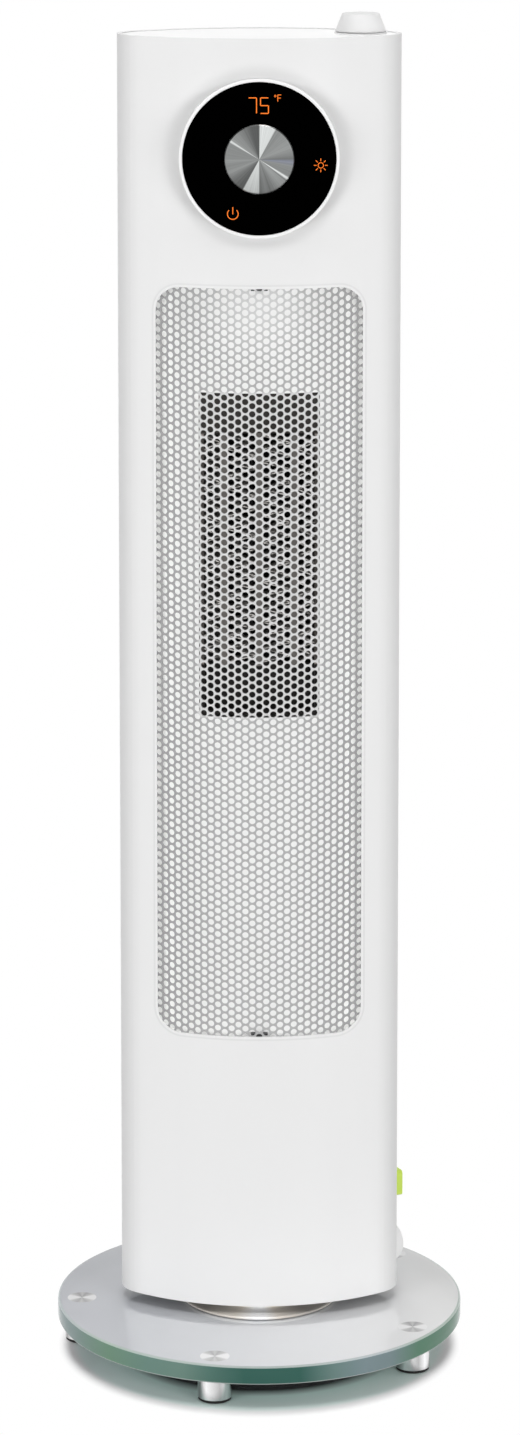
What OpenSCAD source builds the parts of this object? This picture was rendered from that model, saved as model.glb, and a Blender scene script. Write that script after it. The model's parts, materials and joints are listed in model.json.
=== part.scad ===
// Upright ceramic fan heater on a round glass base
// Millimetres, Z up, the front faces -Y, the floor is Z = 0 and the swing axis is X = 0, Y = 0

/* [Cabinet] */
// Width over the rounded ends
cab_w = 150; // [144:6:162]
// Height from bottom edge to top edge
cab_h = 685; // [670:1:760]
// Radius of the rounded ends in plan, which sets the depth
end_r = 18; // [18:3:21]
// Wall of the front and rear shells
wall = 2.5; // [2:0.1:3]
// Thickness of the top and bottom covers
cover_t = 2.5; // [2:0.1:3]
// How far the covers sit inside the shells' edges
cover_recess = 0.4; // [0.2:0.1:1]
// Air gap between the glass and the cabinet
lift = 6; // [5.5:0.5:10]

/* [Glass base] */
// Radius of the glass disc
glass_r = 110; // [105:1:140]
// Thickness of the glass disc
glass_t = 10; // [8:0.5:12]
// Number of feet
foot_count = 5; // [3:1:6]
// Height of a foot with its pad
foot_h = 13; // [9:0.5:20]
// Radius of a foot
foot_r = 9.2; // [8.5:0.1:11]
// Radius of the circle of feet
foot_ring_r = 97; // [85:1:98]
// Thickness of the rubber pad under a foot
pad_t = 1.2; // [0.8:0.1:2]
// Radius of the metal disc bonded under the glass
bond_r = 8; // [6:0.1:8.3]
// Thickness of the bonded disc
bond_t = 1; // [0.5:0.1:1.5]

/* [Pedestal] */
// Radius of the spun flange on the glass
flange_r = 43; // [40:0.5:50]
// Thickness of the spun flange
flange_t = 1.8; // [1.5:0.1:2.4]
// Radius of the neck above the flange
neck_r = 30; // [28:0.5:34]
// Radius of the spigot that passes through the glass
spigot_r = 25; // [24:0.5:26]
// Radius of the pivot column
column_r = 14; // [13:0.5:15]
// Bore radius of the pivot column
column_bore_r = 7; // [5:0.5:7.5]
// Radius of the plate under the glass
hub_plate_r = 36; // [32:0.5:40]
// Thickness of the plate under the glass
hub_plate_t = 2.5; // [2:0.1:3]
// Thickness of each gasket on the glass
gasket_t = 0.6; // [0.4:0.1:1]

/* [Swing drive] */
// Wall of the plain bush round the column
bush_t = 2; // [1.5:0.1:2.5]
// Height of the bush
bush_h = 17; // [14:0.5:20]
// Tooth module of the gears
gear_m = 1; // [0.95:0.01:1.02]
// Teeth that a full ring of the sector gear would have
sector_teeth = 48; // [46:2:50]
// Teeth of the pinion
pinion_teeth = 12; // [12:2:14]
// Width of the gears
gear_w = 5; // [4:0.5:6]
// Radius of the swing motor
swing_motor_r = 14; // [12:0.5:14.5]
// Height of the swing motor
swing_motor_h = 19; // [16:0.5:22]

/* [Grille] */
// Width of the grille opening
grille_w = 109; // [100:1:110]
// Height of the grille opening
grille_h = 404; // [390:1:410]
// Corner radius of the grille opening
grille_corner = 13; // [8:0.5:20]
// From the cabinet's top edge down to the grille opening
grille_drop = 131; // [125:1:140]
// Thickness of the grille sheet
grille_t = 1; // [0.8:0.1:1.2]
// Shell skin left in front of the grille sheet's edge
lip = 1; // [0.8:0.1:1.2]
// How far the sheet reaches behind the skin
grille_margin = 3; // [2.5:0.1:3]
// Pitch of the hexagonal openings
mesh_pitch = 12.9; // [12:0.1:16]
// Width left between the hexagonal openings
mesh_web = 3.6; // [2.5:0.1:4.5]

/* [Heater] */
// Width of the window in the air guide
window_w = 64; // [60:0.5:66]
// Height of the window in the air guide
window_h = 174.5; // [170:0.5:180]
// From the cabinet's top edge down to the window
window_drop = 187.5; // [184:0.5:194]
// Depth of the heater frame
core_d = 13; // [12:0.5:14]
// Height of the finned part
fin_h = 126; // [120:1:130]
// Height of the plain holder above the fins
holder_h = 22; // [20:0.5:24]
// Width of a ceramic strip
strip_w = 3; // [2:0.1:4]
// Spacing of the ceramic strips
strip_pitch = 18.7; // [17:0.1:19]
// Height of one fold of the corrugated fins
fin_pitch = 3.5; // [3:0.1:6]
// Thickness of the fin metal
fin_t = 0.5; // [0.4:0.05:0.6]

/* [Blower] */
// Radius of the crossflow wheel
wheel_r = 18.5; // [17:0.5:18.5]
// Number of blades
blade_count = 24; // [16:1:30]
// Thickness of a blade
blade_t = 0.8; // [0.6:0.1:1.2]
// Wall of the blower housing
scroll_t = 1.2; // [1:0.1:1.4]
// Radius of the blower motor
motor_r = 21; // [18:0.5:22]
// Height of the blower motor
motor_h = 36; // [32:1:45]
// Radius of the motor shaft
shaft_r = 2.5; // [2:0.1:3]

/* [Dial] */
// Radius of the dial bezel
dial_r = 41.9; // [40:0.1:44]
// Wall of the bezel round the lens
bezel_wall = 1.7; // [1.2:0.1:2.5]
// From the cabinet's top edge down to the dial's centre
dial_drop = 62.4; // [60:0.1:66]
// How far the bezel stands in front of the cabinet
bezel_proud = 2; // [1:0.1:4]
// Thickness of the black lens
lens_t = 2; // [1.5:0.1:3]
// Radius of the spun-metal knob
knob_r = 18.3; // [16:0.1:20]
// How far the knob stands in front of the lens
knob_proud = 3; // [2:0.1:6]

/* [Top knob] */
// Radius at the foot of the top knob
selector_r = 13.5; // [12:0.1:14]
// Radius at the top of the top knob
selector_top_r = 9.9; // [9:0.1:11]
// Height of the top knob
selector_h = 9.5; // [9:0.1:12]
// Distance of the top knob from the cabinet's middle
selector_x = 53.5; // [50:0.1:54]

/* [Power button] */
// Height of the power button
button_h = 14; // [12:0.1:16]
// Width of the power button
button_w = 9.6; // [8:0.1:10]
// How far the button stands out of the wall
button_proud = 3.2; // [3:0.1:5]
// Travel of the button
button_travel = 2; // [1:0.1:2.5]
// Height of the button's centre above the cabinet's bottom edge
button_up = 54.9; // [52:0.1:60]

/* [Cord outlet] */
// Radius of the round outlet cap
outlet_r = 12; // [11:0.1:12]
// How far the outlet cap stands out of the wall
outlet_proud = 3.2; // [2:0.1:4]
// Height of the outlet's centre above the cabinet's bottom edge
outlet_up = 18.9; // [18.5:0.1:20]
// Radius of the hole for the cord
cord_hole_r = 3.6; // [3:0.1:4.2]

/* [Fasteners] */
// Shank radius of the small screws
screw_r = 1.5; // [1.2:0.05:1.6]
// Head radius of the small screws
head_r = 2.8; // [2.4:0.1:3]
// Head height of the small screws
head_h = 1.8; // [1.2:0.1:2]

/* [Hidden] */

// Clearances
hair = 0.05;      // round a screw, a bush or a shaft
slip = 0.1;       // between fixed pieces that sit together
gap = 0.3;        // between pieces that move past each other

// Heights
glass_z = foot_h;
glass_top = glass_z + glass_t;
cab_z0 = glass_top + lift;
cab_z1 = cab_z0 + cab_h;

// Plan of the cabinet: two face arcs and two end rounds. The lines from a face arc's centre to the
// end rounds' centres run along a 3-4-5 triangle, so that the arcs meet smoothly
end_x = cab_w / 2 - end_r;
face_c = end_x * 4 / 3;
face_r = end_r + end_x * 5 / 3;
half_d = face_r - face_c;
cab_d = 2 * half_d;

// Shell posts and cover posts
post_r = 4;
post_x = end_x + 6;
post_drops = [25, 161, 311, 461, 601];
pilot_deep = 10;
head_seat_y = 8;
cover_post_x = 30;
cover_post_r = 3.6;
cover_post_in = 11;
lug_t = 3;
cover_post_h = 6;
bottom_lug_z = cab_z0 + cover_recess + cover_t + cover_post_h;
top_lug_z = cab_z1 - cover_recess - cover_t - cover_post_h - lug_t;

// Glass base and pedestal
first_foot = -104;
flange_z = glass_top + gasket_t;
neck_z = flange_z + flange_t;
washer_t = 0.8;
hub_z = cab_z0 + cover_recess;
neck_top = hub_z - washer_t;
hub_plate_z = glass_z - gasket_t - hub_plate_t;
hub_bolt_ring = 20;
hub_bolt_r = 2;
hub_head_r = 3.6;
hub_head_h = 2.2;

// Swing drive
bush_r = column_r + hair;
bush_out_r = bush_r + bush_t;
hub_r = bush_out_r + hair + 4;
hub_top = hub_z + bush_h;
gear_z = hub_top + gap;
gear_screw_ring = (column_r + column_bore_r) / 2;
sector_r = gear_m * sector_teeth / 2;
pinion_r = gear_m * pinion_teeth / 2;
gear_gap = sector_r + pinion_r + 0.12;
gear_hub_r = sector_r - 3 * gear_m;
swing_motor_x = gear_gap + 8;
drive_plate_z = gear_z + gear_w + 2;
drive_post_y = swing_motor_r + 3.8;
drive_post_r = 3;
drive_shaft_r = 2;

// Grille, guide and heater
grille_top = cab_z1 - grille_drop;
grille_z = grille_top - grille_h / 2;
sheet_r = face_r - lip - slip;
guide_r = face_r - 7;
guide_t = 1.5;
rim_t = 1.5;
clip_w = 9;
clip_h = 2.5;
clip_d = 3;
clip_slot_h = 1.6;
tab_x = 30;
tab_w = 9;
tab_t = 2;
tab_up = 6;
tab_back = face_c - sqrt(pow(guide_r - guide_t, 2) - tab_x * tab_x);
stay_x = window_w / 2 + 6;
stay_r = 3;
stay_in = 14;
window_top = cab_z1 - window_drop;
window_z = window_top - window_h / 2;
core_w = window_w - 2 * gap;
core_h = window_h - 2 * gap;
core_front = -half_d + 12.5;
core_back = core_front + core_d;
rail_t = 2.4;
fin_top = window_top - holder_h;
fin_bottom = fin_top - fin_h;
fin_front = core_front + 1.5;
fin_back = core_back - 0.5;
inner_w = core_w - 2 * rail_t;
cutout_x = -1.5 * strip_pitch;
cutout_y = core_front + 6.5;
fuse_x = strip_pitch + 6;

// Blower
wheel_y = core_back + wheel_r + 3;
wheel_z0 = fin_bottom - 14;
wheel_z1 = fin_top + 12;
disc_t = 2;
plate_t = 2;
housing_z0 = wheel_z0 - 2 - plate_t;
housing_z1 = wheel_z1 + 2;
duct_x = core_w / 2 + 1.8;
scroll_from = -15;
scroll_to = 100;
scroll_start_r = duct_x + 0.5;
scroll_end_r = wheel_r + 1;
tongue_angle = 212;
hub_bore_r = 6;
pin_r = 2;
top_bush_r = 5.4;
bracket_t = 2;
motor_top = housing_z0 - bracket_t;
can_t = 2;
rotor_r = motor_r - can_t - 2;
hub_len = 12;

// Dial
ear_back = -half_d + 14.2;
dial_z = cab_z1 - dial_drop;
lens_r = dial_r - bezel_wall - slip;
bezel_front = -half_d - bezel_proud;
lens_front = bezel_front + 0.3;
lens_back = lens_front + lens_t;
floor_back = lens_back + 2;
board_t = 1.6;
encoder_h = 5;
board_front = floor_back + encoder_h;
bezel_back = max(board_front + board_t + 3, ear_back + 2);
board_r = lens_r - 2;
knob_boss_r = 5;
spindle_r = 3;
digits_up = 28.7;
dial_ear_up = dial_r + 4.6;
dial_ear_r = 3.4;
digits_box = [24, 12];
lamp_places = [[32.1, -3.1], [-14.7, -29]];
lamp_size = 5;

// Top knob and its switch
selector_y = 4;
cover_top = cab_z1 - cover_recess;
plinth_h = 0.8;
plinth_r = selector_r + 0.5;
knob_z = cover_top + plinth_h + gap;
neck_out_r = 3.5;
neck_up = 2;
nut_h = 1.6;
nut_r = 5.6;
switch_box = [18, 18, 11];
selector_hollow_r = 8;

// Power button and cord outlet
button_z = cab_z0 + button_up;
button_angle = 25;
button_round = 1.8;
cap_in = 3.6;
switch_front = -4.6;
switch_deep = 14;
switch_side = 1.8;
stem_r = 2.5;
stem_len = 5;
outlet_z = cab_z0 + outlet_up;
outlet_angle = 52;
outlet_in = 8;
outlet_face_t = 2;
gland_r = 6;

// Power board
board_z0 = cab_z0 + 95;
board_size = [78, 100];
relay_box = [19, 15, 15];
relay_x = [-20, 4];
supply_box = [30, 26, 20];
supply_place = [16, 36];
capacitor_r = 6;
capacitor_h = 16;
capacitor_place = [-22, 42];
plug_box = [36, 9, 10];
plug_place = [-10, 12];
board_y = 18;
board_post_x = 33;
board_post_in = 6;
board_post_r = 3.2;

// Tip-over switch
tilt_x = -48;
tilt_pin_up = 36;
cheek_y = 8;
cheek_t = 2;
cheek_w = 12;
cheek_over = 14;
tilt_box_h = 7;
pendulum_r = 7;
pendulum_len = 20;
pin_hold_r = 1.5;
tilt_z0 = hub_z + cover_t;
tilt_pin_z = tilt_z0 + tilt_pin_up;

// Intake louvres
louvre_w = 88;
louvre_h = 3;
louvre_pitch = 7;
louvre_z0 = housing_z0 - 10;
louvre_count = floor((housing_z1 - housing_z0 + 30) / louvre_pitch);

// Colours
white = [0.93, 0.93, 0.92];
pale = [0.86, 0.86, 0.85];
black = [0.03, 0.03, 0.03];
steel = [0.72, 0.73, 0.74];
dark = [0.2, 0.2, 0.21];
glass_green = [0.5, 0.68, 0.62, 0.6];
lime = [0.7, 0.85, 0.2];
copper = [0.72, 0.45, 0.2];
board_green = [0.1, 0.35, 0.2];

// Shared shapes

// Plan outline of the cabinet, drawn in by a margin
module plan(inset = 0) {
    join_x = end_x + (end_r - inset) * 3 / 5;
    intersection() {
        translate([0, face_c]) circle(r = face_r - inset, $fn = 240);
        translate([0, -face_c]) circle(r = face_r - inset, $fn = 240);
        square([2 * join_x, 2 * cab_d], center = true);
    }
    for (side = [-1, 1]) translate([side * end_x, 0]) circle(r = end_r - inset, $fn = 96);
}

module plan_prism(inset, z0, z1) {
    translate([0, 0, z0]) linear_extrude(z1 - z0) plan(inset);
}

// Rod along +Z
module rod(r, z0, z1) {
    translate([0, 0, z0]) cylinder(r = r, h = z1 - z0, $fn = 48);
}

// Rod along +Y at an X and Z place
module rod_y(r, x, z, y0, y1) {
    translate([x, y0, z]) rotate([-90, 0, 0]) cylinder(r = r, h = y1 - y0, $fn = 48);
}

// Upright cylinder on a face arc's centre, which gives a sheet its curve
module face_rod(r, z0, z1) {
    translate([0, face_c, z0]) cylinder(r = r, h = z1 - z0, $fn = 240);
}

// Slab with rounded corners, seen from the front, through all of Y before the axis plane
module front_slab(w, h, corner, z) {
    translate([0, 0, z]) rotate([90, 0, 0]) linear_extrude(cab_d)
        rounded_plate(w, h, corner);
}

module rounded_plate(w, h, corner) {
    square([w - 2 * corner, h], center = true);
    square([w, h - 2 * corner], center = true);
    for (x = [-1, 1], y = [-1, 1])
        translate([x * (w / 2 - corner), y * (h / 2 - corner)]) circle(r = corner, $fn = 48);
}

// Curved sheet behind the front face between two radii
module front_sheet(r_out, r_in, w, h, corner, z) {
    intersection() {
        front_slab(w, h, corner, z);
        difference() {
            face_rod(r_out, z - h, z + h);
            face_rod(r_in, z - h - 1, z + h + 1);
        }
    }
}

// Frame on the rounded end's skin: +X points out of the wall
module at_end(angle, z) {
    translate([end_x, 0, z]) rotate([0, 0, angle]) translate([end_r, 0, 0]) children();
}

// Rod along the skin frame's X
module rod_x(r, x0, x1) {
    translate([x0, 0, 0]) rotate([0, 90, 0]) cylinder(r = r, h = x1 - x0, $fn = 60);
}

module block(low, high) {
    translate(low) cube(high - low);
}

module on_ring(r, count, first = 0) {
    for (i = [0 : count - 1])
        rotate([0, 0, first + i * 360 / count]) translate([r, 0, 0]) children();
}

// Gear outline from involute flanks; a tooth points along +X
function involute(base, turn) = [
    base * (cos(turn) + turn * PI / 180 * sin(turn)),
    base * (sin(turn) - turn * PI / 180 * cos(turn))
];
function turn_at(base, r) = r <= base ? 0 : sqrt(r * r / (base * base) - 1) * 180 / PI;
function spin(p, a) = [p[0] * cos(a) - p[1] * sin(a), p[0] * sin(a) + p[1] * cos(a)];
function flank(m, teeth, slack) =
    let (pitch = m * teeth / 2, base = pitch * cos(20), tip = pitch + 0.8 * m,
        on_pitch = involute(base, turn_at(base, pitch)),
        half = 90 / teeth - slack / pitch * 90 / PI,
        back = atan2(on_pitch[1], on_pitch[0]) + half)
    [for (k = [0 : 3])
        let (r = max(base, pitch - 1.1 * m) + k / 3 * (tip - max(base, pitch - 1.1 * m)))
        spin(involute(base, turn_at(base, r)), -back)];
function tooth(m, teeth, slack) =
    let (low = flank(m, teeth, slack), root = m * teeth / 2 - 1.2 * m,
        a = atan2(low[0][1], low[0][0]))
    concat([[root * cos(a), root * sin(a)]], low,
        [for (k = [3 : -1 : 0]) [low[k][0], -low[k][1]]], [[root * cos(a), -root * sin(a)]]);
function gear_outline(m, teeth, slack, first, last) =
    [for (i = [first : last]) each [for (p = tooth(m, teeth, slack)) spin(p, i * 360 / teeth)]];

// Small screw along -Z under its head at the origin
module screw(len) {
    cylinder(r = head_r, h = head_h, $fn = 32);
    translate([0, 0, -len]) cylinder(r = screw_r, h = len + head_h / 2, $fn = 32);
}

// Glass base, feet and pedestal

module glass_base() {
    ease = 0.6;
    color(glass_green) rotate_extrude($fn = 240) polygon([[spigot_r + gap, glass_z],
        [glass_r - ease, glass_z], [glass_r, glass_z + ease], [glass_r, glass_top - ease],
        [glass_r - ease, glass_top], [spigot_r + gap, glass_top]]);
}

module foot_discs() {
    color(steel) on_ring(foot_ring_r, foot_count, first_foot) rod(bond_r, glass_z - bond_t, glass_z);
}

module foot_pucks() {
    color(steel) on_ring(foot_ring_r, foot_count, first_foot) difference() {
        rod(foot_r, pad_t, glass_z);
        rod(bond_r + hair, glass_z - bond_t, glass_z + 1);
    }
}

module foot_pads() {
    color(black) on_ring(foot_ring_r, foot_count, first_foot) rod(foot_r - 0.4, 0, pad_t);
}

module base_gaskets() {
    color(dark) for (z = [glass_z - gasket_t, glass_top]) difference() {
        rod(hub_plate_r - 1, z, z + gasket_t);
        rod(spigot_r + gap, z - 1, z + gasket_t + 1);
    }
}

module hub_screw_holes(z0, z1, r) {
    on_ring(hub_bolt_ring, 4, 45) rod(r, z0, z1);
}

module pedestal() {
    color(steel) difference() {
        union() {
            rod(spigot_r, hub_plate_z + hub_plate_t, flange_z + 1);
            rotate_extrude($fn = 240) polygon([[0, flange_z], [flange_r, flange_z],
                [flange_r, flange_z + flange_t / 2], [flange_r - 0.5, flange_z + flange_t * 0.7],
                [neck_r, neck_z], [neck_r, neck_top - 0.4], [neck_r - 0.4, neck_top],
                [0, neck_top]]);
            rod(column_r, neck_top - 1, gear_z);
        }
        rod(column_bore_r, hub_plate_z, gear_z + 1);
        hub_screw_holes(hub_plate_z, glass_top, hub_bolt_r + hair);
        on_ring(gear_screw_ring, 3, 90) rod(screw_r + hair, gear_z - pilot_deep, gear_z + 1);
    }
}

module hub_plate() {
    color(steel) difference() {
        rod(hub_plate_r, hub_plate_z, hub_plate_z + hub_plate_t);
        rod(column_bore_r, hub_plate_z - 1, glass_z);
        hub_screw_holes(hub_plate_z - 1, glass_z, hub_bolt_r + hair);
    }
}

module hub_screws() {
    color(steel) on_ring(hub_bolt_ring, 4, 45) {
        rod(hub_head_r, hub_plate_z - hub_head_h, hub_plate_z);
        rod(hub_bolt_r, hub_plate_z - 1, hub_plate_z + pilot_deep);
    }
}

module thrust_washer() {
    color(white) difference() {
        rod(neck_r - 2, neck_top, hub_z);
        rod(column_r + gap, neck_top - 1, hub_z + 1);
    }
}

module sector_gear() {
    color(pale) difference() {
        union() {
            rod(gear_hub_r, gear_z, gear_z + gear_w);
            translate([0, 0, gear_z]) linear_extrude(gear_w) polygon(concat(
                [[0, 0]], gear_outline(gear_m, sector_teeth, 0.14, -7, 7)));
        }
        rod(column_bore_r, gear_z - 1, gear_z + gear_w + 1);
        on_ring(gear_screw_ring, 3, 90) rod(screw_r + hair, gear_z - 1, gear_z + gear_w + 1);
    }
}

module gear_screws() {
    color(steel) on_ring(gear_screw_ring, 3, 90) translate([0, 0, gear_z + gear_w])
        screw(gear_w + pilot_deep - 2);
}

// Cabinet shells and covers

module shell_posts() {
    intersection() {
        for (side = [-1, 1], drop = post_drops)
            rod_y(post_r, side * post_x, cab_z1 - drop, -half_d, half_d);
        plan_prism(wall / 2, cab_z0, cab_z1);
    }
}

// Lugs inside the shells that the covers are screwed to
module cover_lugs(z) {
    lug_w = 2 * cover_post_r + 1;
    intersection() {
        for (x = [-1, 1]) block([x * cover_post_x - lug_w / 2, -half_d, z],
            [x * cover_post_x + lug_w / 2, half_d, z + lug_t]);
        difference() {
            plan_prism(wall / 2, cab_z0, cab_z1);
            plan_prism(cover_post_in + cover_post_r, cab_z0, cab_z1);
        }
    }
}

// Places of the cover screws: middle of a lug, drawn in from the face
module at_cover_posts(sides) {
    reach = sqrt(pow(face_r - cover_post_in, 2) - cover_post_x * cover_post_x) - face_c;
    for (x = [-1, 1], y = sides) translate([x * cover_post_x, y * reach, 0]) children();
}

module front_half(front) {
    y0 = front ? -cab_d : 0;
    block([-cab_w, y0, cab_z0 - 5], [cab_w, y0 + cab_d, cab_z1 + 5]);
}

module shell_blank() {
    difference() {
        plan_prism(0, cab_z0, cab_z1);
        plan_prism(wall, cab_z0 - 1, cab_z1 + 1);
    }
}

module front_shell() {
    color(white) intersection() {
        front_half(true);
        difference() {
            union() {
                difference() {
                    shell_blank();
                    front_slab(grille_w, grille_h, grille_corner, grille_z);
                    intersection() {
                        front_slab(grille_w + 2 * grille_margin, grille_h + 2 * grille_margin,
                            grille_corner + grille_margin, grille_z);
                        face_rod(face_r - lip, grille_z - grille_h, grille_z + grille_h);
                    }
                    rod_y(dial_r + slip, 0, dial_z, -cab_d, 0);
                }
                shell_posts();
                cover_lugs(bottom_lug_z);
                cover_lugs(top_lug_z);
                intersection() {
                    union() {
                        at_guide_tabs() rod_y(tab_w / 2, 0, 0, -half_d, tab_back - tab_t);
                        at_dial_ears() rod_y(dial_ear_r, 0, 0, -half_d, ear_back);
                    }
                    plan_prism(wall / 2, cab_z0, cab_z1);
                }
            }
            for (side = [-1, 1], drop = post_drops)
                rod_y(screw_r + hair, side * post_x, cab_z1 - drop, -pilot_deep, 1);
            at_cover_posts([-1]) rod(screw_r + hair, cab_z0 + cover_t, cab_z1 - cover_t);
            at_guide_tabs() rod_y(screw_r + hair, 0, 0, tab_back - tab_t - 4.2, 0);
            at_dial_ears() rod_y(screw_r + hair, 0, 0, ear_back - 8, 0);
        }
    }
}

module louvres() {
    for (i = [0 : louvre_count - 1])
        block([-louvre_w / 2, 0, louvre_z0 + i * louvre_pitch],
            [louvre_w / 2, cab_d, louvre_z0 + i * louvre_pitch + louvre_h]);
}

module board_posts(r, y0, y1) {
    for (x = [-1, 1], z = [board_post_in, board_size[1] - board_post_in])
        rod_y(r, x * board_post_x, board_z0 + z, y0, y1);
}

module rear_shell() {
    color(white) intersection() {
        front_half(false);
        difference() {
            union() {
                difference() {
                    shell_blank();
                    louvres();
                    at_end(button_angle, button_z) button_block(button_w + 2 * gap,
                        button_h + 2 * gap, button_round + gap, -wall - 4, 4);
                    at_end(outlet_angle, outlet_z) rod_x(outlet_r + slip, -outlet_in - 0.5, 5);
                }
                shell_posts();
                cover_lugs(bottom_lug_z);
                intersection() {
                    board_posts(board_post_r, board_y + board_t, half_d);
                    plan_prism(wall / 2, cab_z0, cab_z1);
                }
            }
            for (side = [-1, 1], drop = post_drops) {
                rod_y(screw_r + hair, side * post_x, cab_z1 - drop, -1, half_d);
                rod_y(head_r + gap, side * post_x, cab_z1 - drop, head_seat_y, half_d);
            }
            at_cover_posts([1]) rod(screw_r + hair, cab_z0 + cover_t, bottom_lug_z + lug_t + 1);
            board_posts(screw_r + hair, board_y, board_y + board_t + 6);
        }
    }
}

module shell_screws() {
    color(steel) for (side = [-1, 1], drop = post_drops)
        translate([side * post_x, head_seat_y, cab_z1 - drop]) rotate([-90, 0, 0])
            screw(head_seat_y + pilot_deep - 2);
}

module cover_plate(z) {
    plan_prism(wall + slip, z, z + cover_t);
}

module top_cover() {
    z = cover_top - cover_t;
    color(white) difference() {
        union() {
            cover_plate(z);
            translate([selector_x, selector_y, 0]) rod(plinth_r, cover_top - 1, cover_top + plinth_h);
            at_cover_posts([-1]) rod(cover_post_r, z - cover_post_h, z + 1);
        }
        translate([selector_x, selector_y, 0]) rod(neck_out_r + slip, z - 1, cab_z1 + 5);
        at_cover_posts([-1]) rod(screw_r + hair, z - cover_post_h - 1, z);
    }
}

module bottom_cover() {
    color(white) difference() {
        union() {
            cover_plate(hub_z);
            rod(hub_r, hub_z, hub_top);
            at_cover_posts([-1, 1]) rod(cover_post_r, hub_z + 1, bottom_lug_z);
            for (y = [-1, 1]) translate([swing_motor_x, y * drive_post_y, 0])
                rod(drive_post_r, hub_z + 1, drive_plate_z);
        }
        rod(bush_out_r + hair, hub_z - 1, hub_top + 1);
        at_cover_posts([-1, 1]) rod(screw_r + hair, hub_z - 1, bottom_lug_z + 1);
        at_cover_posts([-1, 1]) rod(head_r + gap, hub_z - 1, hub_z + head_h + gap);
        for (y = [-1, 1]) translate([swing_motor_x, y * drive_post_y, 0])
            rod(screw_r + hair, drive_plate_z - pilot_deep, drive_plate_z + 1);
    }
}

module cover_screws() {
    color(steel) {
        at_cover_posts([-1, 1]) translate([0, 0, hub_z + head_h + gap]) rotate([180, 0, 0])
            screw(bottom_lug_z + lug_t - hub_z - head_h - gap);
        at_cover_posts([-1]) translate([0, 0, top_lug_z]) rotate([180, 0, 0])
            screw(lug_t + cover_post_h - 1);
    }
}

// Screws inside the cabinet: swing motor, blower motor, power board, air guide, duct and dial
module inner_screws() {
    color(steel) {
        for (y = [-1, 1]) translate([swing_motor_x, y * drive_post_y, drive_plate_z + 1])
            screw(pilot_deep - 2);
        at_motor_screws() translate([0, 0, housing_z0 + plate_t])
            screw(plate_t + bracket_t + pilot_deep - 3);
        for (x = [-1, 1], z = [board_post_in, board_size[1] - board_post_in])
            translate([x * board_post_x, board_y, board_z0 + z]) rotate([90, 0, 0])
                screw(board_t + 5);
        at_guide_tabs() translate([0, tab_back, 0]) rotate([-90, 0, 0]) screw(tab_t + 4);
        at_stays() translate([0, core_back + 1.5, 0]) rotate([-90, 0, 0]) screw(7);
        at_dial_ears() translate([0, ear_back + tab_t, 0]) rotate([-90, 0, 0]) screw(tab_t + 7);
    }
}

// Tabs of the air guide above and below it, where it is screwed to the front shell
module at_guide_tabs() {
    for (x = [-1, 1], z = [-1, 1])
        translate([x * tab_x, 0, grille_z + z * (grille_h / 2 + grille_margin + tab_up)]) children();
}

// Stays behind the air guide that the blower's duct is screwed to
module at_stays() {
    for (x = [-1, 1], z = [-1, 1])
        translate([x * stay_x, 0, window_z + z * (window_h / 2 - stay_in)]) children();
}

// Ears above and below the dial, where it is screwed to the front shell
module at_dial_ears() {
    for (z = [-1, 1]) translate([0, 0, dial_z + z * dial_ear_up]) children();
}

module swivel_bush() {
    color(copper) difference() {
        rod(bush_out_r, hub_z, hub_top);
        rod(bush_r, hub_z - 1, hub_top + 1);
    }
}

// Grille and air guide

module front_grille() {
    margin = 2 * (grille_margin - slip);
    column = mesh_pitch * sqrt(3) / 2;
    columns = floor((grille_w / 2 - 4) / column);
    rows = floor((grille_h / 2 - 6) / mesh_pitch);
    color(pale) difference() {
        front_sheet(sheet_r, sheet_r - grille_t, grille_w + margin, grille_h + margin,
            grille_corner + margin / 2, grille_z);
        translate([0, 0, grille_z]) rotate([90, 0, 0]) linear_extrude(cab_d)
            for (i = [-columns : columns], j = [-rows : rows])
                mesh_hole(i * column, (j + (i % 2 == 0 ? 0 : 0.5)) * mesh_pitch);
        for (up = [-1, 1]) translate([0, 0, grille_z + up * (grille_h / 2 - clip_slot_h)])
            block([-clip_w / 2 - gap, -cab_d, -clip_slot_h / 2], [clip_w / 2 + gap, 0, clip_slot_h / 2]);
    }
}

// One hexagonal opening, left out where it would cut the sheet's border
module mesh_hole(x, z) {
    hole_r = (mesh_pitch - mesh_web) / sqrt(3);
    in_x = grille_w / 2 - 2 - hole_r - abs(x);
    in_z = grille_h / 2 - 4 - hole_r - abs(z);
    in_corner = grille_corner;
    if (in_x > 0 && in_z > 0 && in_x + in_z > in_corner / 2)
        translate([x, z]) circle(r = hole_r, $fn = 6);
}

module grille_clips() {
    back = sheet_r - grille_t - slip;
    color(dark) for (up = [-1, 1]) {
        z = grille_z + up * (grille_h / 2 + grille_margin - rim_t - 2 * slip - clip_h / 2 - slip);
        front_sheet(back, back - clip_d, clip_w, clip_h, 0.4, z);
    }
}

module air_guide() {
    w = grille_w + 2 * grille_margin - 4 * slip;
    h = grille_h + 2 * grille_margin - 4 * slip;
    corner = grille_corner + grille_margin - 2 * slip;
    front = sheet_r - grille_t - slip;
    color(white) difference() {
        union() {
            difference() {
                front_sheet(front, guide_r - guide_t, w, h, corner, grille_z);
                front_sheet(front + 1, guide_r, w - 2 * rim_t, h - 2 * rim_t, corner - rim_t,
                    grille_z);
                front_slab(window_w, window_h, 1, window_z);
            }
            at_guide_tabs() rod_y(tab_w / 2, 0, 0, tab_back - tab_t, tab_back);
            for (x = [-1, 1], z = [-1, 1]) guide_bridge(x * tab_x, grille_z + z * h / 2, z);
            intersection() {
                at_stays() rod_y(stay_r, 0, 0, -half_d, core_back);
                face_rod(guide_r - guide_t / 2, window_z - window_h, window_z + window_h);
            }
        }
        at_guide_tabs() rod_y(screw_r + hair, 0, 0, -half_d, 0);
        at_stays() rod_y(screw_r + hair, 0, 0, core_back - 7, 0);
    }
}

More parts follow.
